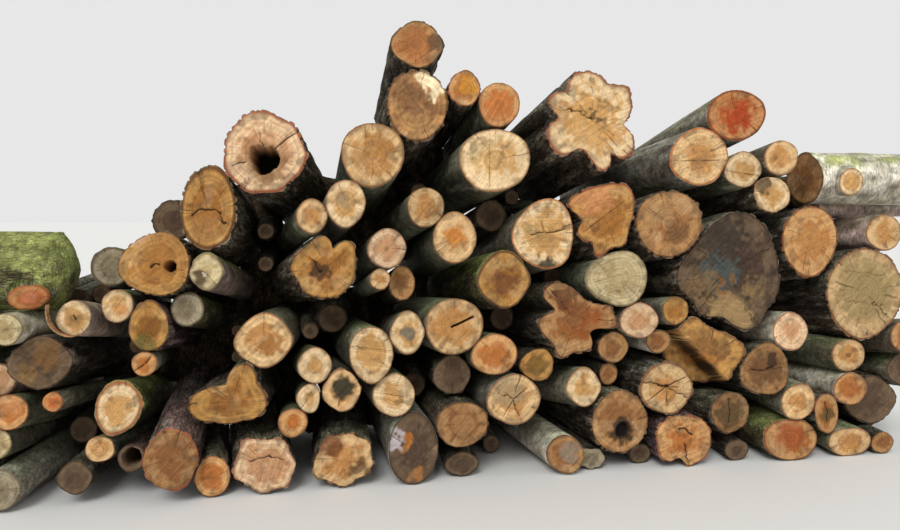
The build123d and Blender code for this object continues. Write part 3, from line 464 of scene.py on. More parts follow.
        "thick": .045, "stains": [(.1, 0, .62, "b8431d", .75), (-.3, .45, .3, "c27a45", .6)]},
    "pale_kerf_billet": {"wood": "cream", "bark": "green", "steps": [(172, 20, 7)], "light": .9},
    "ring_round": {"wood": "tan", "bark": "smooth", "rings": 2},
    "low_pale_billet": {"wood": "cream", "bark": "dark", "stains": [(-.5, .5, .5, "4a3a28", .8)]},
    "shade_billet": {"wood": "dark", "bark": "dark"},
    "inner": {"wood": "dark", "bark": "dark"},
    "moss_stub": {"wood": "bright", "bark": "mossy", "moss": .4, "stains": [(0, .1, .7, "d98a63", .7)]},
    "birch_stub": {"wood": "cream", "bark": "birch", "saw": 60, "light": 1.15},
    "outer_billet_low": {"wood": "tan", "bark": "smooth"},
    "outer_billet_back": {"wood": "brown", "bark": "dark"},
    "outer_billet_second": {"wood": "golden", "bark": "furrowed"},
    "outer_billet_third": {"wood": "cream", "bark": "green"},
    "outer_billet_top": {"wood": "grey", "bark": "mossy", "moss": .4},
    "mossy_trunk": {"wood": "brown", "bark": "mossy", "moss": 1.0, "thick": .05, "mossEnd": True},
    "birch_trunk": {"wood": "brown", "bark": "birch", "moss": .15},
    "pink_pole": {"wood": "pink", "bark": "pinkish"},
}

# Sawn stubs of branches on the trunks that lie across: place is the share of the trunk's length, swing is
# degrees to the side and up, flare how much wider the stub is at the trunk, lengths are metres
branchStubs = {
    "mossy_trunk": ("moss_stub", {
        "place": 0.24, "swing": (20, -30), "standsOut": 0.05, "radius": 0.070, "flare": 1.22, "oval": 0.25,
    }),
    "birch_trunk": ("birch_stub", {
        "place": 0.14, "swing": (4, -6), "standsOut": 0.035, "radius": 0.081, "flare": 1.22, "oval": 0.0,
    }),
}

# The loose billets in each shared node, from left to right
sharedNodes = {
    "billets_a": ["outer_billet_back", "long_billet", "pipe_billet", "orange_heart_billet",
                  "rotten_centre", "inner", "pink_round", "low_pale_billet", "white_side_billet"],
    "billets_b": ["outer_billet_second", "inner", "orange_crack_billet", "half_pale_billet", "inner",
                  "inner", "inner", "ring_round", "inner"],
    "billets_c": ["outer_billet_third", "inner", "inner", "inner", "tan_billet", "ochre_round",
                  "low_prop_right", "birch_billet", "low_brown_billet"],
    "billets_d": ["outer_billet_low", "peeled_billet", "grey_billet", "yawed_billet", "inner", "inner",
                  "inner", "tan_bean", "pink_side_billet"],
    "billets_e": ["outer_billet_top", "ground_log_small", "half_rotten_billet", "cream_billet",
                  "egg_round", "inner", "olive_billet", "inner", "inner"],
    "billets_f": ["pink_birch", "inner", "orange_billet", "inner", "shadow_round", "pale_billet",
                  "ring_billet", "orange_green_split", "inner"],
    "billets_g": ["edge_log_low", "ochre_billet", "inner", "grey_pointed", "low_prop_middle",
                  "crumbly_stub", "inner", "inner", "edge_orange_log"],
    "billets_h": ["green_bark_log", "moss_back_log", "inner", "small_round", "yellow_billet",
                  "hidden_billet", "olive_round", "inner", "inner"],
    "billets_i": ["striped_billet", "kerf_billet", "inner", "pinkish_round", "shade_billet",
                  "brown_round", "low_prop_grass", "inner", "inner"],
    "billets_j": ["inner", "inner", "inner", "dark_tan_billet", "inner", "inner", "pale_kerf_billet",
                  "green_side_billet", "edge_green_log"],
}

# The rim of the rotten hollow in hollow_trunk, in mm from the middle of its face
hollowRim = [(60, 8), (36, 30), (4, 24), (-26, 40), (-62, 22), (-70, -24), (-58, -70), (-20, -104),
             (22, -96), (58, -66), (72, -26)]
# Colours that all logs share
patchColours = {
    # hole is a near-black painted shade for the inside of the holes and the hollow
    "pale": linear("e6cfa4"), "grime": linear("5a452f"), "hole": linear("120c08"),
    "brown": linear("5f4c3a"), "lichen": linear("b9b5a2"), "moss": linear("929858"),
}
groovedBarks = ("furrowed", "dark", "purple")
shortGrainedBarks = ("mossy", "birch", "pinkish")
# Which of the timber's materials dresses each bark; the others are smooth, number 3
barkSlots = {"furrowed": 1, "dark": 1, "purple": 1, "mossy": 1, "birch": 2, "pinkish": 2}
# The hidden billets that start between these x places, in metres, swell by a share of their radius in the
# middle of their length, so that no daylight shows between the logs
swelling = {"from": -1.7, "to": 0.7, "share": 0.6}

# The skin of a log is a grid: columns round it, and rows from the middle of the face to its edge, down the
# side and in to the middle of the tail. Lengths are in metres, the rest are shares.
skinGrid = {
    "spacing": 0.0094,                # between two columns
    "markedSpacing": 0.0073,          # the same on a face with cuts, cracks or holes
    "columns": (52, 200),             # fewest and most
    "faceRows": (9, 38),
    "hidden": (44, 7),                # columns and face rows of a billet inside the stack
    "barkRows": (0.8, 0.35, 0.08, 0.0),   # on the face, in shares of the bark's thickness from outside
    "thin": 0.08,                     # a thinner log has every second row down its side
    "sideRows": (.003, .008, .015, .025, .038, .054, .074, .098, .128, .165,
                 .21, .265, .33, .41, .5, .6, .72, .85, .96),
    "tailRows": (1.0, 0.97, 0.75, 0.5, 0.25),
}
markedLooks = ("cracks", "steps", "holes", "hollow", "slit", "notch", "slab")
onFace, onSide, onTail = 0, 1, 2


def skinRows(looks, log, thick, hidden):
    # the share of the radius, the place down the log and the part of every row, and the number of columns
    spacing = skinGrid["markedSpacing" if any(key in looks for key in markedLooks) else "spacing"]
    columns = int(np.clip(round(2 * math.pi * log["reach"] / spacing), *skinGrid["columns"]))
    faceRows = int(np.clip(round(log["reach"] / (spacing * 0.85)), *skinGrid["faceRows"]))
    if hidden:
        columns, faceRows = skinGrid["hidden"]
    step = 2 if hidden or log["reach"] < skinGrid["thin"] else 1
    places = [row * log["length"] for row in skinGrid["sideRows"][::step]]
    if "slot" in looks:
        behind = looks["slot"][1] / 1000
        places = sorted(places + [behind + shift for shift in (-0.001, 0.001, 0.0085, 0.0105)])
    shares = list(np.linspace(0, 1, faceRows + 1)[1:] * (1 - thick))
    shares += [1 - thick * row for row in skinGrid["barkRows"]]
    tail = list(skinGrid["tailRows"])
    share = np.array(shares + [1.0] * len(places) + tail)
    place = np.array([0.0] * len(shares) + places + [log["length"]] * len(tail))
    part = np.repeat((onFace, onSide, onTail), (len(shares), len(places), len(tail)))
    return share, place, part, columns


def polylineDistance(u, v, points):
    # distance from each place on the face to the nearest stretch of the broken line
    best = np.full(len(u), np.inf)
    for (x0, z0), (x1, z1) in zip(points, points[1:]):
        dx, dz = x1 - x0, z1 - z0
        share = np.clip(((u - x0) * dx + (v - z0) * dz) / (dx * dx + dz * dz), 0, 1)
        best = np.minimum(best, np.hypot(u - x0 - share * dx, v - z0 - share * dz))
    return best


def insideDistance(u, v, rim):
    # distance to the rim of the closed outline, negative inside it (crossings counted along a ray)
    points = rim + rim[:1]
    distance = polylineDistance(u, v, points)
    inside = np.zeros(len(u), dtype=bool)
    for (x0, z0), (x1, z1) in zip(points, points[1:]):
        crosses = (z0 > v) != (z1 > v)
        with np.errstate(divide="ignore", invalid="ignore"):
            inside ^= crosses & (u < (x1 - x0) * (v - z0) / (z1 - z0) + x0)
    return np.where(inside, -distance, distance)


def beyondLine(u, v, degrees, offset):
    # distance past a straight line that runs at an angle, offset metres from the middle of the face
    angle = math.radians(degrees)
    return v * math.cos(angle) - u * math.sin(angle) - offset


def growRelief(looks, bark, skin):
    # bark: noise stretched along the log, grooved where it crosses its middle value, swells 140 mm wide,
    # moss in patches of 90 mm with tufts of 20 mm, and a rim torn in bits of 11 mm just behind the face
    around, seed = skin["around"], skin["seed"]
    field = fractal(around / bark["grain"] + seed, seed, 3)
    groove = np.exp(-((field - 0.5) / 0.07) ** 2) * (looks["bark"] in groovedBarks)
    broad = fractal(around / 0.14 + 5, seed + 3, 2) - 0.5
    height = bark["height"] * (field - 0.62 - 1.1 * groove) * min(1.0, skin["reach"] / 0.12) + 0.004 * broad
    mossy = np.zeros(len(field))
    if "moss" in looks:
        moss = looks["moss"]
        patches = fractal(around / 0.09 + 11, seed + 5, 3) + 0.22 * np.sin(skin["theta"])
        mossy = smoothStep(0.78 - 0.42 * moss, 0.95 - 0.42 * moss, patches)
        height += mossy * (0.002 + 0.006 * fractal(around / 0.02, seed + 7, 2))
    ragged = 0.0025 * (latticeNoise(around / 0.011, seed + 61) - 0.5) * np.exp(-skin["place"] / 0.05)
    skin.update(field=field, groove=groove, moss=mossy)
    return (height + ragged) * skin["edge"]


def carveFace(looks, skin):
    # how deep each place of the sawn face lies, and how far it is from the nearest crack and hole. The saw
    # leaves waves 50 mm wide and 2 mm deep, rot crumbles in bits of 22 mm, thick bark breaks in bits of 30 mm
    u, v, wobble, seed, reach = (skin[key] for key in ("u", "v", "wobble", "seed", "reach"))
    plane = flatPoints(u, v)
    depth = (fractal(plane / 0.05, seed + 21, 2) - 0.5) * 0.002
    if "rough" in looks:
        depth += smoothStep(0.35, 0.75, fractal(plane / 0.022, seed + 23, 3)) * looks["rough"] / 1000
    if skin["thick"] > 0.025:
        depth += skin["edge"] * (0.001 + 0.006 * fractal(skin["around"] / 0.03, seed + 25, 2))
    # crack and hole hold the distance to the places that the materials paint dark as shade
    crack = np.full(len(u), 0.05)
    hole = np.full(len(u), 0.05)
    for points, width in looks.get("cracks", []):
        away = polylineDistance(u / reach + wobble * 0.16, v / reach + wobble * 0.12, points) * reach
        crack = np.minimum(crack, away - width / 2000)
        depth += 0.006 * (1 - smoothStep(0, 0.006, away - width / 2000))
    for direction, offset, drop in looks.get("steps", []):
        past = beyondLine(u, v, direction, offset / 1000)
        depth += smoothStep(-0.0015, 0.0015, past) * drop / 1000
        crack = np.minimum(crack, np.abs(past) - 0.0005)
    for x, z, size, deep in looks.get("holes", []):
        away = np.hypot(u - x / 1000, v - z / 1000) * (1 + 0.25 * wobble) - size / 1000
        hole = np.minimum(hole, away)
        depth += (1 - smoothStep(-0.006, 0.004, away)) * deep / 1000
    if "hollow" in looks:
        away = insideDistance(u, v, [(x / 1000, z / 1000) for x, z in hollowRim]) + wobble * 0.012
        hole = np.minimum(hole, away)
        depth += (1 - smoothStep(-0.012, 0.006, away)) * looks["hollow"] / 1000
    if "slit" in looks:
        direction, x, z, length, deep = looks["slit"]
        right, up = (length / 2 * turn(math.radians(direction)) for turn in (math.cos, math.sin))
        ends = [((x + s * right) / 1000, (z + s * up) / 1000) for s in (-1, 1)]
        away = polylineDistance(u, v, ends)
        crack = np.minimum(crack, away - 0.0045)
        depth += (1 - smoothStep(0.002, 0.007, away)) * deep / 1000
    if "notch" in looks:
        direction, slope, drop = looks["notch"]
        rise = math.tan(math.radians(slope))
        past = beyondLine(u, v, direction, drop / 1000 / rise * 0.4)
        depth += np.maximum(0, past) * rise
        crack = np.minimum(crack, np.abs(past) - 0.001)
    if "slab" in looks:
        direction, offset, drop = looks["slab"]
        past = beyondLine(u, v, direction, offset / 1000)
        depth += (1 - smoothStep(-0.004, 0.004, past)) * drop / 1000
        crack = np.minimum(crack, np.abs(past) - 0.002)
    if "mossEnd" in looks:
        depth = 0.07 * np.minimum(skin["share"], 1) ** 3 + 0.012 * (fractal(plane / 0.05, seed + 27, 3) - 0.3)
        skin["moss"] = np.maximum(skin["moss"], smoothStep(0.35, 0.6, fractal(plane / 0.06, seed + 29, 3)))
    return depth * (skin["part"] == onFace), crack, hole


def cutSlot(looks, skin):
    # a saw cut round most of the log behind its face: its rows are drawn in towards the middle
    direction, behind, stop = looks["slot"]
    past = beyondLine(skin["u"], skin["v"], direction, -stop * skin["reach"])
    near, deep = behind / 1000 + 0.0005, behind / 1000 + 0.009
    inSlot = (skin["part"] == onSide) & (skin["place"] > near) & (skin["place"] < deep) & (past > 0)
    skin["outward"] = np.where(inSlot, skin["outward"] * 0.25, skin["outward"])
    # the slot counts as a crack, so its walls are painted dark as shade
    skin["crack"] = np.where(inSlot, -0.004, skin["crack"])


def placeSkin(log, skin):
    # straight lines from the leaning face plane to the tail, with the log's drift and taper
    cosine, sine = np.cos(skin["theta"]), np.sin(skin["theta"])
    outward, place, ones = skin["outward"], skin["place"], np.ones(len(cosine))
    shrink = (log["taper"] - 1) / log["length"]
    near = np.column_stack([outward * cosine, ones * 0, outward * sine])
    slope = np.column_stack([log["drift"][0] + shrink * outward * cosine, ones,
                             log["drift"][1] + shrink * outward * sine])
    start = -(near @ log["faceOut"]) / (slope @ log["faceOut"])
    fade = np.clip(1 - place / (0.5 * log["length"]), 0, 1)
    side = np.maximum(place, start * fade + place)
    skin["down"] = np.choose(skin["part"], [start + skin["depth"], side, log["length"]])
    return log["origin"] + (near + slope * skin["down"][:, None]) @ log["axes"]


def woodTone(looks, skin):
    # sawn wood from the heart to the sap, weathered patches 60 mm wide and pale ones 75 mm, spots of grime
    # of 35 mm, stains, saw streaks 13 mm apart and 120 mm long, inner bark, holes painted near black as shade
    wood, seed, share, wobble = woodKinds[looks["wood"]], skin["seed"], skin["share"], skin["wobble"]
    plane = flatPoints(skin["u"], skin["v"])
    heart = 0.32 + 0.2 * (seed * 0.37 % 1)
    colour = mixColour(linear(wood["heart"]), linear(wood["sap"]),
                       smoothStep(heart, heart + 0.34, share + wobble * 0.7))
    blotch = smoothStep(0.5, 0.78, fractal(plane / 0.06 + 3, seed + 31, 3))
    colour = mixColour(colour, linear(wood["stain"]), blotch * looks.get("weather", 0.24))
    if looks["wood"] != "dark":
        pale = smoothStep(0.55, 0.8, fractal(plane / 0.075 + 13, seed + 33, 3))
        colour = mixColour(colour, patchColours["pale"], pale * 0.14)
    grime = fractal(plane / 0.035 + 23, seed + 35, 2) + 0.28 * smoothStep(0.7, 1, share)
    colour = mixColour(colour, patchColours["grime"], smoothStep(0.62, 0.85, grime) * 0.5)
    for x, z, size, hexColour, strength in looks.get("stains", []):
        away = np.hypot(skin["u"] / skin["reach"] - x, skin["v"] / skin["reach"] - z) + wobble * 0.5
        mark = 1 - smoothStep(size * 0.6, size * 1.08, away)
        colour = mixColour(colour, linear(hexColour), mark * strength)
    streaks = fractal(flatPoints(skin["sawAlong"] / 0.12, skin["sawAcross"] / 0.013), seed + 37, 2)
    colour *= (0.8 + 0.4 * streaks)[:, None]
    jacket = smoothStep(1 - skin["thick"] * 1.6 - 0.02, 1 - skin["thick"], share)
    colour = mixColour(colour, linear(looks.get("rim", wood["rim"])), jacket * 0.85)
    # the holes and the hollow are painted near black as shade
    colour = mixColour(colour, patchColours["hole"], 1 - smoothStep(-0.008, 0.001, skin["hole"]))
    return colour * looks.get("light", 0.92 + 0.2 * (seed * 0.618 % 1))


def barkTone(looks, bark, skin):
    # plates and crevices, the crevices partly darker bark and partly painted shade, growth on the upper side,
    # light and dark areas 100 mm wide, brown patches 80 mm wide, lichen in spots of 50 mm, moss
    around, field, seed = skin["around"], skin["field"], skin["seed"]
    patchy = fractal(around / 0.10 + 7, seed + 41, 3)
    # low and grooved places of the relief take the low colour: darker bark and painted shade
    plates = np.clip(0.55 + 1.9 * (field - 0.5), 0, 1) * (1 - skin["groove"])
    colour = mixColour(linear(bark["low"]), linear(bark["high"]), plates)
    upper = smoothStep(0.1, 0.9, np.sin(skin["theta"]) + 1.2 * (patchy - 0.5))
    colour = mixColour(colour, linear(bark["top"]) * (0.6 + 0.8 * field[:, None]), upper * 0.6)
    colour *= (0.45 + 1.1 * patchy)[:, None]
    brown = smoothStep(0.45, 0.7, fractal(around / 0.08 + 27, seed + 45, 3))
    colour = mixColour(colour, patchColours["brown"], brown * 0.45)
    lichen = smoothStep(0.60, 0.70, fractal(around / 0.05 + 17, seed + 43, 3))
    colour = mixColour(colour, patchColours["lichen"], lichen * looks.get("lichen", 0.35))
    colour = mixColour(colour, patchColours["moss"] * (0.5 + 0.8 * patchy[:, None]), skin["moss"] * 0.9)
    return np.clip(colour, 0, 1) * (0.85 + 0.3 * (seed * 0.271 % 1))


def closeSkin(points, values, log, rows, count):
    # a pole in the middle of the face and one in the middle of the tail close the skin with fans
    depth = values.pop("depth").reshape(rows, count)[0].mean()
    front = log["origin"] + log["axes"][1] * depth
    back = log["origin"] + (np.array([log["drift"][0], 1, log["drift"][1]]) * log["length"]) @ log["axes"]
    for key, value in values.items():
        grid = value.reshape(rows, count, -1)
        values[key] = np.vstack([grid.reshape(rows * count, -1), grid[0].mean(axis=0), grid[-1].mean(axis=0)])
    row, column = np.meshgrid(np.arange(rows - 1), np.arange(count), indexing="ij")
    one, two = row * count + column, row * count + (column + 1) % count
    quads = np.stack([one, one + count, two + count, two], axis=-1).reshape(-1, 4)
    here, following, last = np.arange(count), (np.arange(count) + 1) % count, (rows - 1) * count
    fans = np.vstack([
        np.column_stack([np.full(count, rows * count), here, following]),
        np.column_stack([last + here, np.full(count, rows * count + 1), last + following]),
    ])
    return np.clip(np.vstack([points, front, back]), cadBox[0], cadBox[1]), quads, fans


def growLog(name, log, seed):
    # one closed skin over a log: its points, quads, triangles, the finish of each face, and the values
    # that its materials read
    looks = logLooks[name]
    bark = barkKinds[looks["bark"]]
    thick = looks.get("thick", bark["thick"])
    rowShare, rowPlace, rowPart, count = skinRows(looks, log, thick, name == "inner")
    rows, reach = len(rowShare), log["reach"]
    theta = np.tile(np.arange(count) * 2 * math.pi / count, rows)
    share, place, part = (np.repeat(row, count) for row in (rowShare, rowPlace, rowPart))
    around = np.column_stack([reach * np.cos(theta), reach * np.sin(theta), place / 4.5])
    if looks["bark"] in shortGrainedBarks:
        around[:, 2] *= 3
    skin = {
        "theta": theta, "share": share, "place": place, "part": part, "around": around, "seed": seed,
        "reach": reach, "thick": thick, "edge": smoothStep(1 - thick * 1.15, 1 - thick * 0.5, share),
    }
    radius = np.interp(np.degrees(theta), outlineDegrees, log["radii"])
    outward = radius * share + growRelief(looks, bark, skin)
    if name == "inner" and swelling["from"] < log["origin"][0] < swelling["to"]:
        outward *= 1 + swelling["share"] * np.sin(math.pi * np.clip(place / log["length"], 0, 1)) ** 0.8
    u, v = outward * np.cos(theta), outward * np.sin(theta)
    wobble = fractal(flatPoints(u, v) / 0.03, seed + 9, 2) - 0.5
    saw = math.radians(looks.get("saw", 45))
    skin.update(outward=outward, u=u, v=v, wobble=wobble, sawAlong=u * math.cos(saw) + v * math.sin(saw),
                sawAcross=v * math.cos(saw) - u * math.sin(saw))
    skin["depth"], skin["crack"], skin["hole"] = carveFace(looks, skin)
    # a side row never lies in front of the face that was cut back
    rim = np.tile(skin["depth"].reshape(rows, count)[(rowPart == onFace).sum() - 1], rows)
    behind = np.maximum(place, rim + 0.002 * (place > 0) + place * 0.2)
    skin["place"] = np.where(part == onSide, behind, place)
    if "slot" in looks:
        cutSlot(looks, skin)
    points = placeSkin(log, skin)

    atEdge = [smoothStep(1 - thick * 0.4, 1 - thick * 0.1, share), 1.0, smoothStep(0.9, 0.96, share)]
    isBark = np.ones(len(share)) if "mossEnd" in looks else np.choose(part, atEdge)
    ray = theta + wobble * 0.12
    values = {
        "tone": mixColour(woodTone(looks, skin), barkTone(looks, bark, skin), isBark),
        "ring": np.minimum(share, 1) * reach * looks.get("rings", 1.0) + wobble * 0.004 + seed,
        "crack": skin["crack"],
        "moss": skin["moss"] * isBark,
        "sawn": skin["sawAcross"] + wobble * 0.002 + skin["sawAlong"] ** 2 * 0.4,
        "own": np.column_stack([u, v, skin["down"]]) + seed * 0.37,
        "spoke": np.column_stack([np.cos(ray), np.sin(ray), np.full(len(u), seed * 0.7)]),
        "depth": skin["depth"],
    }
    points, quads, fans = closeSkin(points, values, log, rows, count)
    # the sawn wood ends where the jacket of bark begins, on the face and on the tail
    faceSawn = "mossEnd" not in looks
    inWood = rowShare[:-1] < 1 - thick * 0.2
    sawnRows = inWood & ((faceSawn & (rowPart[:-1] == onFace)) | (rowPart[1:] == onTail))
    sawn = np.repeat(np.append(sawnRows, [faceSawn, True]), count)
    return points, quads, fans, np.where(sawn, 0, barkSlots.get(looks["bark"], 3)), values


def stubOf(trunk, settings):
    # the stub is read as a short log of its own, from its sawn end back to the trunk's heart
    side, up = np.radians(settings["swing"])
    out = np.array([math.sin(side), -math.cos(side), math.sin(up)])
    out /= np.linalg.norm(out)
    right = np.cross(-out, (0, 0, 1))
    right /= np.linalg.norm(right)
    axes = np.array([right, -out, np.cross(right, -out)])
    length = trunk["reach"] * 1.03 + settings["standsOut"]
    heart = trunk["origin"] + trunk["axes"][1] * trunk["length"] * settings["place"]
    oval = settings["oval"] * np.cos(np.radians(outlineDegrees)) ** 2
    return {
        "origin": heart + out * length, "axes": axes, "drift": np.zeros(2), "length": length * 0.9,
        "taper": settings["flare"], "faceOut": np.array([0.0, -1.0, 0.0]), "reach": settings["radius"],
        "radii": settings["radius"] * (1 + oval),
    }


def addNode(tree, kind, settings, output=0):
    # a setting is a property or an input; an input takes a value or the output of another node
    node = tree.nodes.new(kind)
    for key, value in settings.items():
        if isinstance(key, str) and key not in node.inputs:
            setattr(node, key, value)
        elif isinstance(value, bpy.types.NodeSocket):
            tree.links.new(node.inputs[key], value)
        else:
            node.inputs[key].default_value = value
    return node.outputs[output] if node.outputs else None


def newMaterial(name):
    material = bpy.data.materials.new(name)
    material.use_nodes = True
    material.node_tree.nodes.clear()
    return material, material.node_tree


def stretch(value, reads, gives):
    # settings that turn one range of a value into another
    ends = dict(zip(("From Min", "From Max", "To Min", "To Max"), (*reads, *gives)))
    return {"Value": value, **ends}


def shadedBy(tree, shade, pattern, reads, gives):
    factor = addNode(tree, "ShaderNodeMapRange", stretch(pattern, reads, gives))
    return addNode(tree, "ShaderNodeMath", {"operation": "MULTIPLY", 0: shade, 1: factor})


def finishMaterial(tree, shade, height, bumpDistance, roughness, specular):
    # the log's own tone times the pattern, the same pattern as relief
    tone = addNode(tree, "ShaderNodeAttribute", {"attribute_name": "tone"}, "Color")
    colour = addNode(tree, "ShaderNodeVectorMath", {"operation": "SCALE", "Vector": tone, "Scale": shade})
    relief = addNode(tree, "ShaderNodeBump", {"Strength": 0.9, "Distance": bumpDistance, "Height": height})
    surface = addNode(tree, "ShaderNodeBsdfPrincipled", {
        "Base Color": colour, "Normal": relief, "Roughness": roughness, "Specular IOR Level": specular,
    })
    addNode(tree, "ShaderNodeOutputMaterial", {"Surface": surface})


# Mixed park timber, chain-sawn across the grain: matt open pores, growth rings 3 mm and 14 mm apart, curved
# saw marks 4 mm apart, rays and drying checks from the pith, specks of dirt 3 to 8 mm wide, and painted
# shade in the modelled cracks.
# Each pattern: the value it is laid on, scale, detail, roughness, and the range it is read in and gives.
endGrain = {
    "fineRings": ("ring", 330, 1, 0.5, (.3, .7), (.9, 1.1)),
    "broadRings": ("ring", 70, 2, 0.5, (.3, .7), (.86, 1.12)),
    "sawMarks": ("sawn", 250, 2, 0.5, (.3, .7), (.8, 1.18)),
    "pores": ("own", 480, 3, 0.6, (.3, .7), (.84, 1.14)),
    "mottle": ("own", 38, 6, 0.7, (.32, .7), (.88, 1.12)),
    "rays": ("spoke", 11, 3, 0.7, (.3, .7), (.88, 1.12)),
    "specks": ("own", 130, 3, 0.6, (.26, .36), (.45, 1.0)),
}
vectorValues = ("own", "spoke")   # the values with three numbers a point
sawnEndGrain, tree = newMaterial("chainsawnEndGrain")
laidOn = {}
for key in ("ring", "sawn", "crack", "own", "spoke"):
    output = "Vector" if key in vectorValues else "Fac"
    laidOn[key] = addNode(tree, "ShaderNodeAttribute", {"attribute_name": key}, output)
patterns, shade = {}, 1.0
for key, (base, scale, detail, roughness, reads, gives) in endGrain.items():
    settings = {"Scale": scale, "Detail": detail, "Roughness": roughness}
    if base in vectorValues:
        settings["Vector"] = laidOn[base]
    else:
        settings.update({"noise_dimensions": "1D", "W": laidOn[base]})
    patterns[key] = addNode(tree, "ShaderNodeTexNoise", settings)
    shade = shadedBy(tree, shade, patterns[key], reads, gives)
# a drying check opens where the slow noise round the pith crosses its middle value, in some places only
checks = addNode(tree, "ShaderNodeTexNoise", {
    "Vector": laidOn["spoke"], "Scale": 3.2, "Detail": 2, "Roughness": 0.6,
})
checkPlaces = addNode(tree, "ShaderNodeTexNoise", {
    "Vector": laidOn["own"], "Scale": 16, "Detail": 2, "Roughness": 0.5,
})
fromMiddle = addNode(tree, "ShaderNodeMath", {"operation": "SUBTRACT", 0: checks, 1: 0.5})
fromMiddle = addNode(tree, "ShaderNodeMath", {"operation": "ABSOLUTE", 0: fromMiddle})
checkLine = addNode(tree, "ShaderNodeMapRange", stretch(fromMiddle, (0, 0.012), (0.3, 1)))
noCheck = addNode(tree, "ShaderNodeMapRange", stretch(checkPlaces, (.46, .54), (1, 0)))
check = addNode(tree, "ShaderNodeMath", {"operation": "MAXIMUM", 0: checkLine, 1: noCheck})
shade = addNode(tree, "ShaderNodeMath", {"operation": "MULTIPLY", 0: shade, 1: check})
# the modelled cracks, saw steps, slit, notch and slab edges and the slot are painted dark as shade, down to
# 0.14 of the tone; their sides are made uneven by the pores
uneven = addNode(tree, "ShaderNodeMapRange", stretch(patterns["pores"], (.3, .7), (-.0008, .0008)))
crackSide = addNode(tree, "ShaderNodeMath", {"operation": "ADD", 0: laidOn["crack"], 1: uneven})
shade = shadedBy(tree, shade, crackSide, (0, .0018), (.14, 1))
height = 0.0
for key, weight in (("sawMarks", 0.6), ("mottle", 0.9), ("pores", 0.3)):
    height = addNode(tree, "ShaderNodeMath", {
        "operation": "MULTIPLY_ADD", 0: patterns[key], 1: weight, 2: height,
    })
finishMaterial(tree, shade, height, 0.003, 0.8, 0.25)


def barkMaterial(name, looks):
    # plates split by crevices (distance to the cell edge) that darken the tone, partly as darker bark and
    # partly as painted shade, broken up by flaky noise
    material, tree = newMaterial(name)
    own = addNode(tree, "ShaderNodeAttribute", {"attribute_name": "own"}, "Vector")
    moss = addNode(tree, "ShaderNodeAttribute", {"attribute_name": "moss"}, "Fac")
    bent = addNode(tree, "ShaderNodeTexNoise", {"Vector": own, "Scale": 22, "Detail": 2}, "Color")
    bend = addNode(tree, "ShaderNodeVectorMath", {"operation": "SCALE", "Vector": bent, "Scale": 0.03})
    moved = addNode(tree, "ShaderNodeVectorMath", {"operation": "ADD", 0: own, 1: bend})
    place = addNode(tree, "ShaderNodeMapping", {"Vector": moved, "Scale": looks["stretch"]})
    plates = addNode(tree, "ShaderNodeTexVoronoi", {
        "feature": "DISTANCE_TO_EDGE", "Vector": place, "Scale": looks["plateScale"],
    }, "Distance")
    flakes = addNode(tree, "ShaderNodeTexNoise", {
        "Vector": place, "Scale": looks["flakeScale"], "Detail": 6, "Roughness": 0.72,
    })
    broad = addNode(tree, "ShaderNodeTexNoise", {"Vector": own, "Scale": 18, "Detail": 4, "Roughness": 0.65})
    # short wrinkles and scars that run round the log, 5 mm high and 30 mm long
    scarPlace = addNode(tree, "ShaderNodeMapping", {"Vector": own, "Scale": (0.5, 0.5, 3.0)})
    scars = addNode(tree, "ShaderNodeTexNoise", {
        "Vector": scarPlace, "Scale": 60, "Detail": 3, "Roughness": 0.6, "Distortion": 0.6,
    })
    # the crevices darken the tone: darker bark and painted shade
    crevice = addNode(tree, "ShaderNodeMapRange", stretch(plates, (0, .16), (1 - looks["plateDepth"], 1.08)))
    shade = addNode(tree, "ShaderNodeMath", {"operation": "MAXIMUM", 0: crevice, 1: moss})
    shade = shadedBy(tree, shade, flakes, (.3, .7), (.45, 1.6))
    shade = shadedBy(tree, shade, broad, (.32, .68), (.5, 1.5))
    shade = shadedBy(tree, shade, scars, (.34, .44), (.5, 1.0))
    raised = addNode(tree, "ShaderNodeMapRange", stretch(plates, (0, .16), (0, 1.6 * looks["plateDepth"])))
    height = addNode(tree, "ShaderNodeMath", {"operation": "MULTIPLY_ADD", 0: flakes, 1: 1.6, 2: raised})
    finishMaterial(tree, shade, height, looks["bump"], looks["roughness"], 0.2)
    return material


# Old oak and willow bark, furrowed: matt plates about 16 mm wide and 60 mm long between crevices that are
# dark partly from darker bark and partly from painted shade
furrowedBark = barkMaterial("furrowedBark", {
    "plateScale": 62, "stretch": (1.0, 1.0, 0.26), "plateDepth": 0.62, "flakeScale": 150, "bump": 0.006,
    "roughness": 0.92,
})
# Birch and cherry bark, thin and smooth: a soft sheen, bands of breathing pores round the log 12 mm apart
bandedBark = barkMaterial("bandedBirchBark", {
    "plateScale": 40, "stretch": (0.35, 0.35, 2.1), "plateDepth": 0.35, "flakeScale": 120, "bump": 0.0015,
    "roughness": 0.72,
})
# Young ash and maple bark, smooth with algae: low shallow plates, specks of lichen
smoothBark = barkMaterial("smoothBark", {
    "plateScale": 44, "stretch": (1.0, 1.0, 0.6), "plateDepth": 0.35, "flakeScale": 150, "bump": 0.003,
    "roughness": 0.84,
})
timberMaterials = [sawnEndGrain, furrowedBark, bandedBark, smoothBark]
print("materials made")


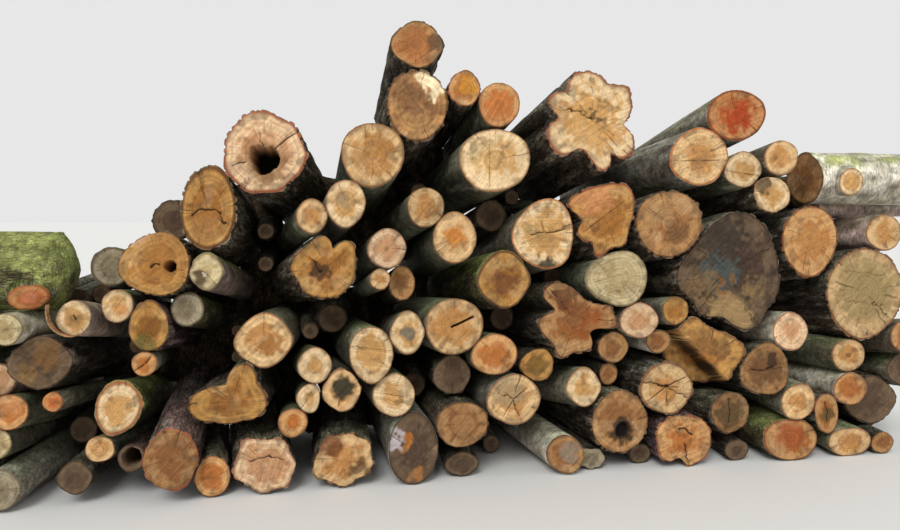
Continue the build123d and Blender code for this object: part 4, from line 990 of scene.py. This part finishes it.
def meshFrom(name, skin, materials):
    # quads first, then triangles; every value becomes an attribute of the points
    points, quads, fans, slots, values = skin
    mesh = bpy.data.meshes.new(name)
    mesh.vertices.add(len(points))
    mesh.vertices.foreach_set("co", points.ravel())
    corners = np.concatenate([quads.ravel(), fans.ravel()])
    mesh.loops.add(len(corners))
    mesh.loops.foreach_set("vertex_index", corners)
    starts = np.concatenate([np.arange(len(quads)) * 4, len(quads) * 4 + np.arange(len(fans)) * 3])
    mesh.polygons.add(len(starts))
    mesh.polygons.foreach_set("loop_start", starts)
    mesh.update(calc_edges=True)
    mesh.polygons.foreach_set("use_smooth", np.ones(len(starts), dtype=bool))
    mesh.polygons.foreach_set("material_index", slots.astype(np.int32))
    for key, grid in values.items():
        if key == "tone":
            layer = mesh.attributes.new(key, "FLOAT_COLOR", "POINT")
            layer.data.foreach_set("color", np.column_stack([grid, np.ones(len(grid))]).ravel())
        elif key in vectorValues:
            mesh.attributes.new(key, "FLOAT_VECTOR", "POINT").data.foreach_set("vector", grid.ravel())
        else:
            mesh.attributes.new(key, "FLOAT", "POINT").data.foreach_set("value", grid.ravel())
    mesh.validate()
    for material in materials:
        mesh.materials.append(material)
    return mesh


def joinSkins(skins):
    # several closed skins as one, all the quads before all the triangles
    points, quads, fans, slots, values = zip(*skins)
    starts = np.cumsum([0] + [len(part) for part in points[:-1]])
    quadSlots = [part[:len(cells)] for part, cells in zip(slots, quads)]
    fanSlots = [part[len(cells):] for part, cells in zip(slots, quads)]
    return (
        np.vstack(points),
        np.vstack([cells + start for cells, start in zip(quads, starts)]),
        np.vstack([cells + start for cells, start in zip(fans, starts)]),
        np.concatenate(quadSlots + fanSlots),
        {key: np.vstack([part[key] for part in values]) for key in values[0]},
    )


def addPiece(name, skin, materials, slot):
    piece = bpy.data.objects.new(name, meshFrom(name, skin, materials))
    bpy.context.scene.collection.objects.link(piece)
    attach(piece, "root")
    return piece


slotOf = {entry["node"]: entry["material_slot"] for entry in frame["record"]["subparts"]}
triangleCount = 0
for node in sorted(frame["nodes"]):
    names = sharedNodes.get(node, [node])
    solids = list(solidsOf(node))
    if node in sharedNodes:
        solids.sort(key=lambda solid: readLog(*solid, (0, 0), False)["origin"][0])
    logs = [readLog(*solid, faceLeans.get(name, (0, 0)), node in trunksAcross)
            for solid, name in zip(solids, names)]
    if "peeled_billet" in names:
        peeledLog = logs[names.index("peeled_billet")]
    if node in branchStubs:
        stubName, stubSettings = branchStubs[node]
        names, logs = names + [stubName], logs + [stubOf(logs[0], stubSettings)]
    skins = []
    for name, log in zip(names, logs):
        # the seed comes from the name; the hidden billets share one name and differ by where they lie
        seed = sum(ord(letter) * (k + 3) for k, letter in enumerate(name)) % 997
        seed += int(log["origin"][0] * 100) % 89 if name == "inner" else 0
        skins.append(growLog(name, log, seed))
    skin = joinSkins(skins)
    piece = addPiece(node + "_timber", skin, timberMaterials, slotOf[node])
    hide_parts(node)
    triangleCount += len(skin[1]) * 2 + len(skin[2])
print("logs dressed, triangles", triangleCount)


def closeSheet(front, back, across, up, tones, own):
    # two sheets of across by up points, back to back, with a rim of quads round their edge
    row, column = np.meshgrid(np.arange(across - 1), np.arange(up - 1), indexing="ij")
    corner = row * up + column
    cells = np.stack([corner, corner + up, corner + up + 1, corner + 1], axis=-1).reshape(-1, 4)
    rim = np.concatenate([
        np.arange(across) * up, (across - 1) * up + np.arange(1, up),
        np.arange(across - 2, -1, -1) * up + up - 1, np.arange(up - 2, 0, -1),
    ])
    nextRim, half = np.roll(rim, -1), across * up
    sides = np.column_stack([nextRim, rim, rim + half, nextRim + half])
    quads = np.vstack([cells, cells[:, ::-1] + half, sides])
    values = {"tone": np.vstack(tones), "own": np.tile(own, (2, 1)), "moss": np.zeros((2 * half, 1))}
    noFans = np.zeros((0, 3), dtype=np.int64)
    return np.vstack([front, back]), quads, noFans, np.zeros(len(quads)), values


# The bark of the peeled billet still hangs on below its face, and its end stands out to the left.
# holds and ends are degrees round the log, lifts the share of the radius, the rest metres and points
peeledCurl = {
    "holds": 285, "ends": 150, "lifts": 0.62, "width": 0.05, "thickness": 0.005, "points": (40, 8),
}


def growCurl(log, settings):
    # a strip of bark that lets go of the log: its radius grows with the square of the way from where it holds
    along, across = settings["points"]
    steps = [np.linspace(0, 1, count) for count in (along, across)]
    a, b = [grid.ravel() for grid in np.meshgrid(*steps, indexing="ij")]
    angle = np.radians(settings["holds"] + (settings["ends"] - settings["holds"]) * a)
    radius = log["reach"] * (1.0 + settings["lifts"] * a ** 2)
    noise = fractal(flatPoints(a * 6, b * 2), 71, 3) - 0.5
    sheets, tones = [], []
    for thickness, dark, light in ((0, "b98455", "d3a981"), (settings["thickness"], "8d7a66", "6b5c4c")):
        away = radius + thickness
        down = (b - 0.6 + 0.2 * noise) * settings["width"]
        own = np.column_stack([away * np.cos(angle), down, away * np.sin(angle)])
        sheets.append(np.clip(log["origin"] + own @ log["axes"], cadBox[0], cadBox[1]))
        tones.append(mixColour(linear(dark), linear(light), np.clip(noise * 2 + 0.5, 0, 1)))
    return closeSheet(*sheets, along, across, tones, flatPoints(a * 0.3, b * 0.04))


addPiece("peeled_bark", growCurl(peeledLog, peeledCurl), [smoothBark], "pale_wood")

# Dark sheets of bark set into the gaps between the logs as painted shade, in metres: three depths in turn,
# each sheet by the x and z of its middle, its width and its height
gapShadeBark = {
    "depths": (0.15, 0.18, 0.21),
    "thickness": 0.012,
    "curl": 0.05,
    "points": 16,
    "pieces": [
        (-0.65, 1.32, 0.59, 0.54), (-0.38, 1.21, 0.23, 0.22), (-0.31, 1.66, 0.32, 0.27),
        (-1.33, 1.02, 0.23, 0.21), (-1.27, 0.83, 0.31, 0.29), (-1.44, 0.83, 0.23, 0.14),
        (-0.66, 0.77, 0.35, 0.30), (-0.35, 0.89, 0.17, 0.22), (-0.98, 0.58, 0.33, 0.20),
        (-1.65, 0.54, 0.52, 0.39), (-1.16, 0.32, 0.16, 0.41), (-2.11, 0.44, 0.25, 0.13),
        (0.10, 0.61, 0.13, 0.10), (-1.13, 1.07, 0.15, 0.15), (-1.91, 0.44, 0.17, 0.16),
        (-2.35, 0.22, 0.16, 0.12), (-1.88, 0.20, 0.13, 0.11), (-1.26, 1.19, 0.12, 0.10),
        (-1.07, 0.82, 0.12, 0.10), (0.24, 1.35, 0.10, 0.08), (-0.66, 0.15, 0.22, 0.26),
        (-1.00, 0.12, 0.15, 0.20), (-1.33, 1.42, 0.33, 0.27),
    ],
}


def growGapShadeBark(x, y, z, width, height, seed):
    # s across and t up from -1 to 1: the sheet bends back with s squared, its edge is torn by noise
    steps = np.linspace(-1, 1, gapShadeBark["points"])
    s, t = [grid.ravel() for grid in np.meshgrid(steps, steps, indexing="ij")]
    ragged = 1 + 0.3 * (fractal(flatPoints(s * 3, t * 3), seed, 3) - 0.6)
    u, v = s * width / 2 * ragged, t * height / 2 * ragged
    field = fractal(flatPoints(u / 0.025, v / 0.09), seed + 1, 3)
    front = np.column_stack([x + u, y + gapShadeBark["curl"] * s ** 2 - 0.014 * (field - 0.5), z + v])
    back = front + (0, gapShadeBark["thickness"], 0)
    # the dark brown tone of these sheets is painted shade in the gaps between the logs
    tone = mixColour(linear("2e261d"), linear("6d5a43"), np.clip(1.8 * (field - 0.3), 0, 1))
    own = np.column_stack([u, np.zeros(len(u)), v]) + seed * 0.37
    return closeSheet(front, back, len(steps), len(steps), [tone, tone], own)


sheets = []
for count, (x, z, width, height) in enumerate(gapShadeBark["pieces"]):
    sheets.append(growGapShadeBark(x, gapShadeBark["depths"][count % 3], z, width, height, 300 + count))
addPiece("gap_shade_bark", joinSkins(sheets), [furrowedBark], "dark_wood")
print("loose bark laid")

# A pale studio floor just below the stack, an even sky and one soft sun from the front left
studio = {
    "floorHalf": 40.0, "floorHeight": -0.001, "floorColour": "ddddda", "floorRoughness": 0.9,
    "sky": 0.8, "sun": 1.6, "sunDegrees": (48, 0, -24), "sunSize": 25,
}
half = studio["floorHalf"]
floorMesh = bpy.data.meshes.new("floor")
floorMesh.from_pydata(
    [(x, y, studio["floorHeight"]) for x, y in ((-half, -half), (half, -half), (half, half), (-half, half))],
    [], [(0, 1, 2, 3)],
)
floor = bpy.data.objects.new("floor", floorMesh)
bpy.context.scene.collection.objects.link(floor)
floorMaterial, tree = newMaterial("paleStudioFloor")
floorSurface = addNode(tree, "ShaderNodeBsdfPrincipled", {
    "Base Color": (*linear(studio["floorColour"]), 1), "Roughness": studio["floorRoughness"],
})
addNode(tree, "ShaderNodeOutputMaterial", {"Surface": floorSurface})
floorMesh.materials.append(floorMaterial)

world = bpy.data.worlds.new("softSky")
bpy.context.scene.world = world
world.use_nodes = True
world.node_tree.nodes.clear()
sky = addNode(world.node_tree, "ShaderNodeBackground", {"Color": (1, 1, 1, 1), "Strength": studio["sky"]})
addNode(world.node_tree, "ShaderNodeOutputWorld", {"Surface": sky})
sun = bpy.data.lights.new("softSun", "SUN")
sun.energy = studio["sun"]
sun.angle = math.radians(studio["sunSize"])
sunObject = bpy.data.objects.new("softSun", sun)
sunObject.rotation_euler = [math.radians(turn) for turn in studio["sunDegrees"]]
bpy.context.scene.collection.objects.link(sunObject)
print("studio set")
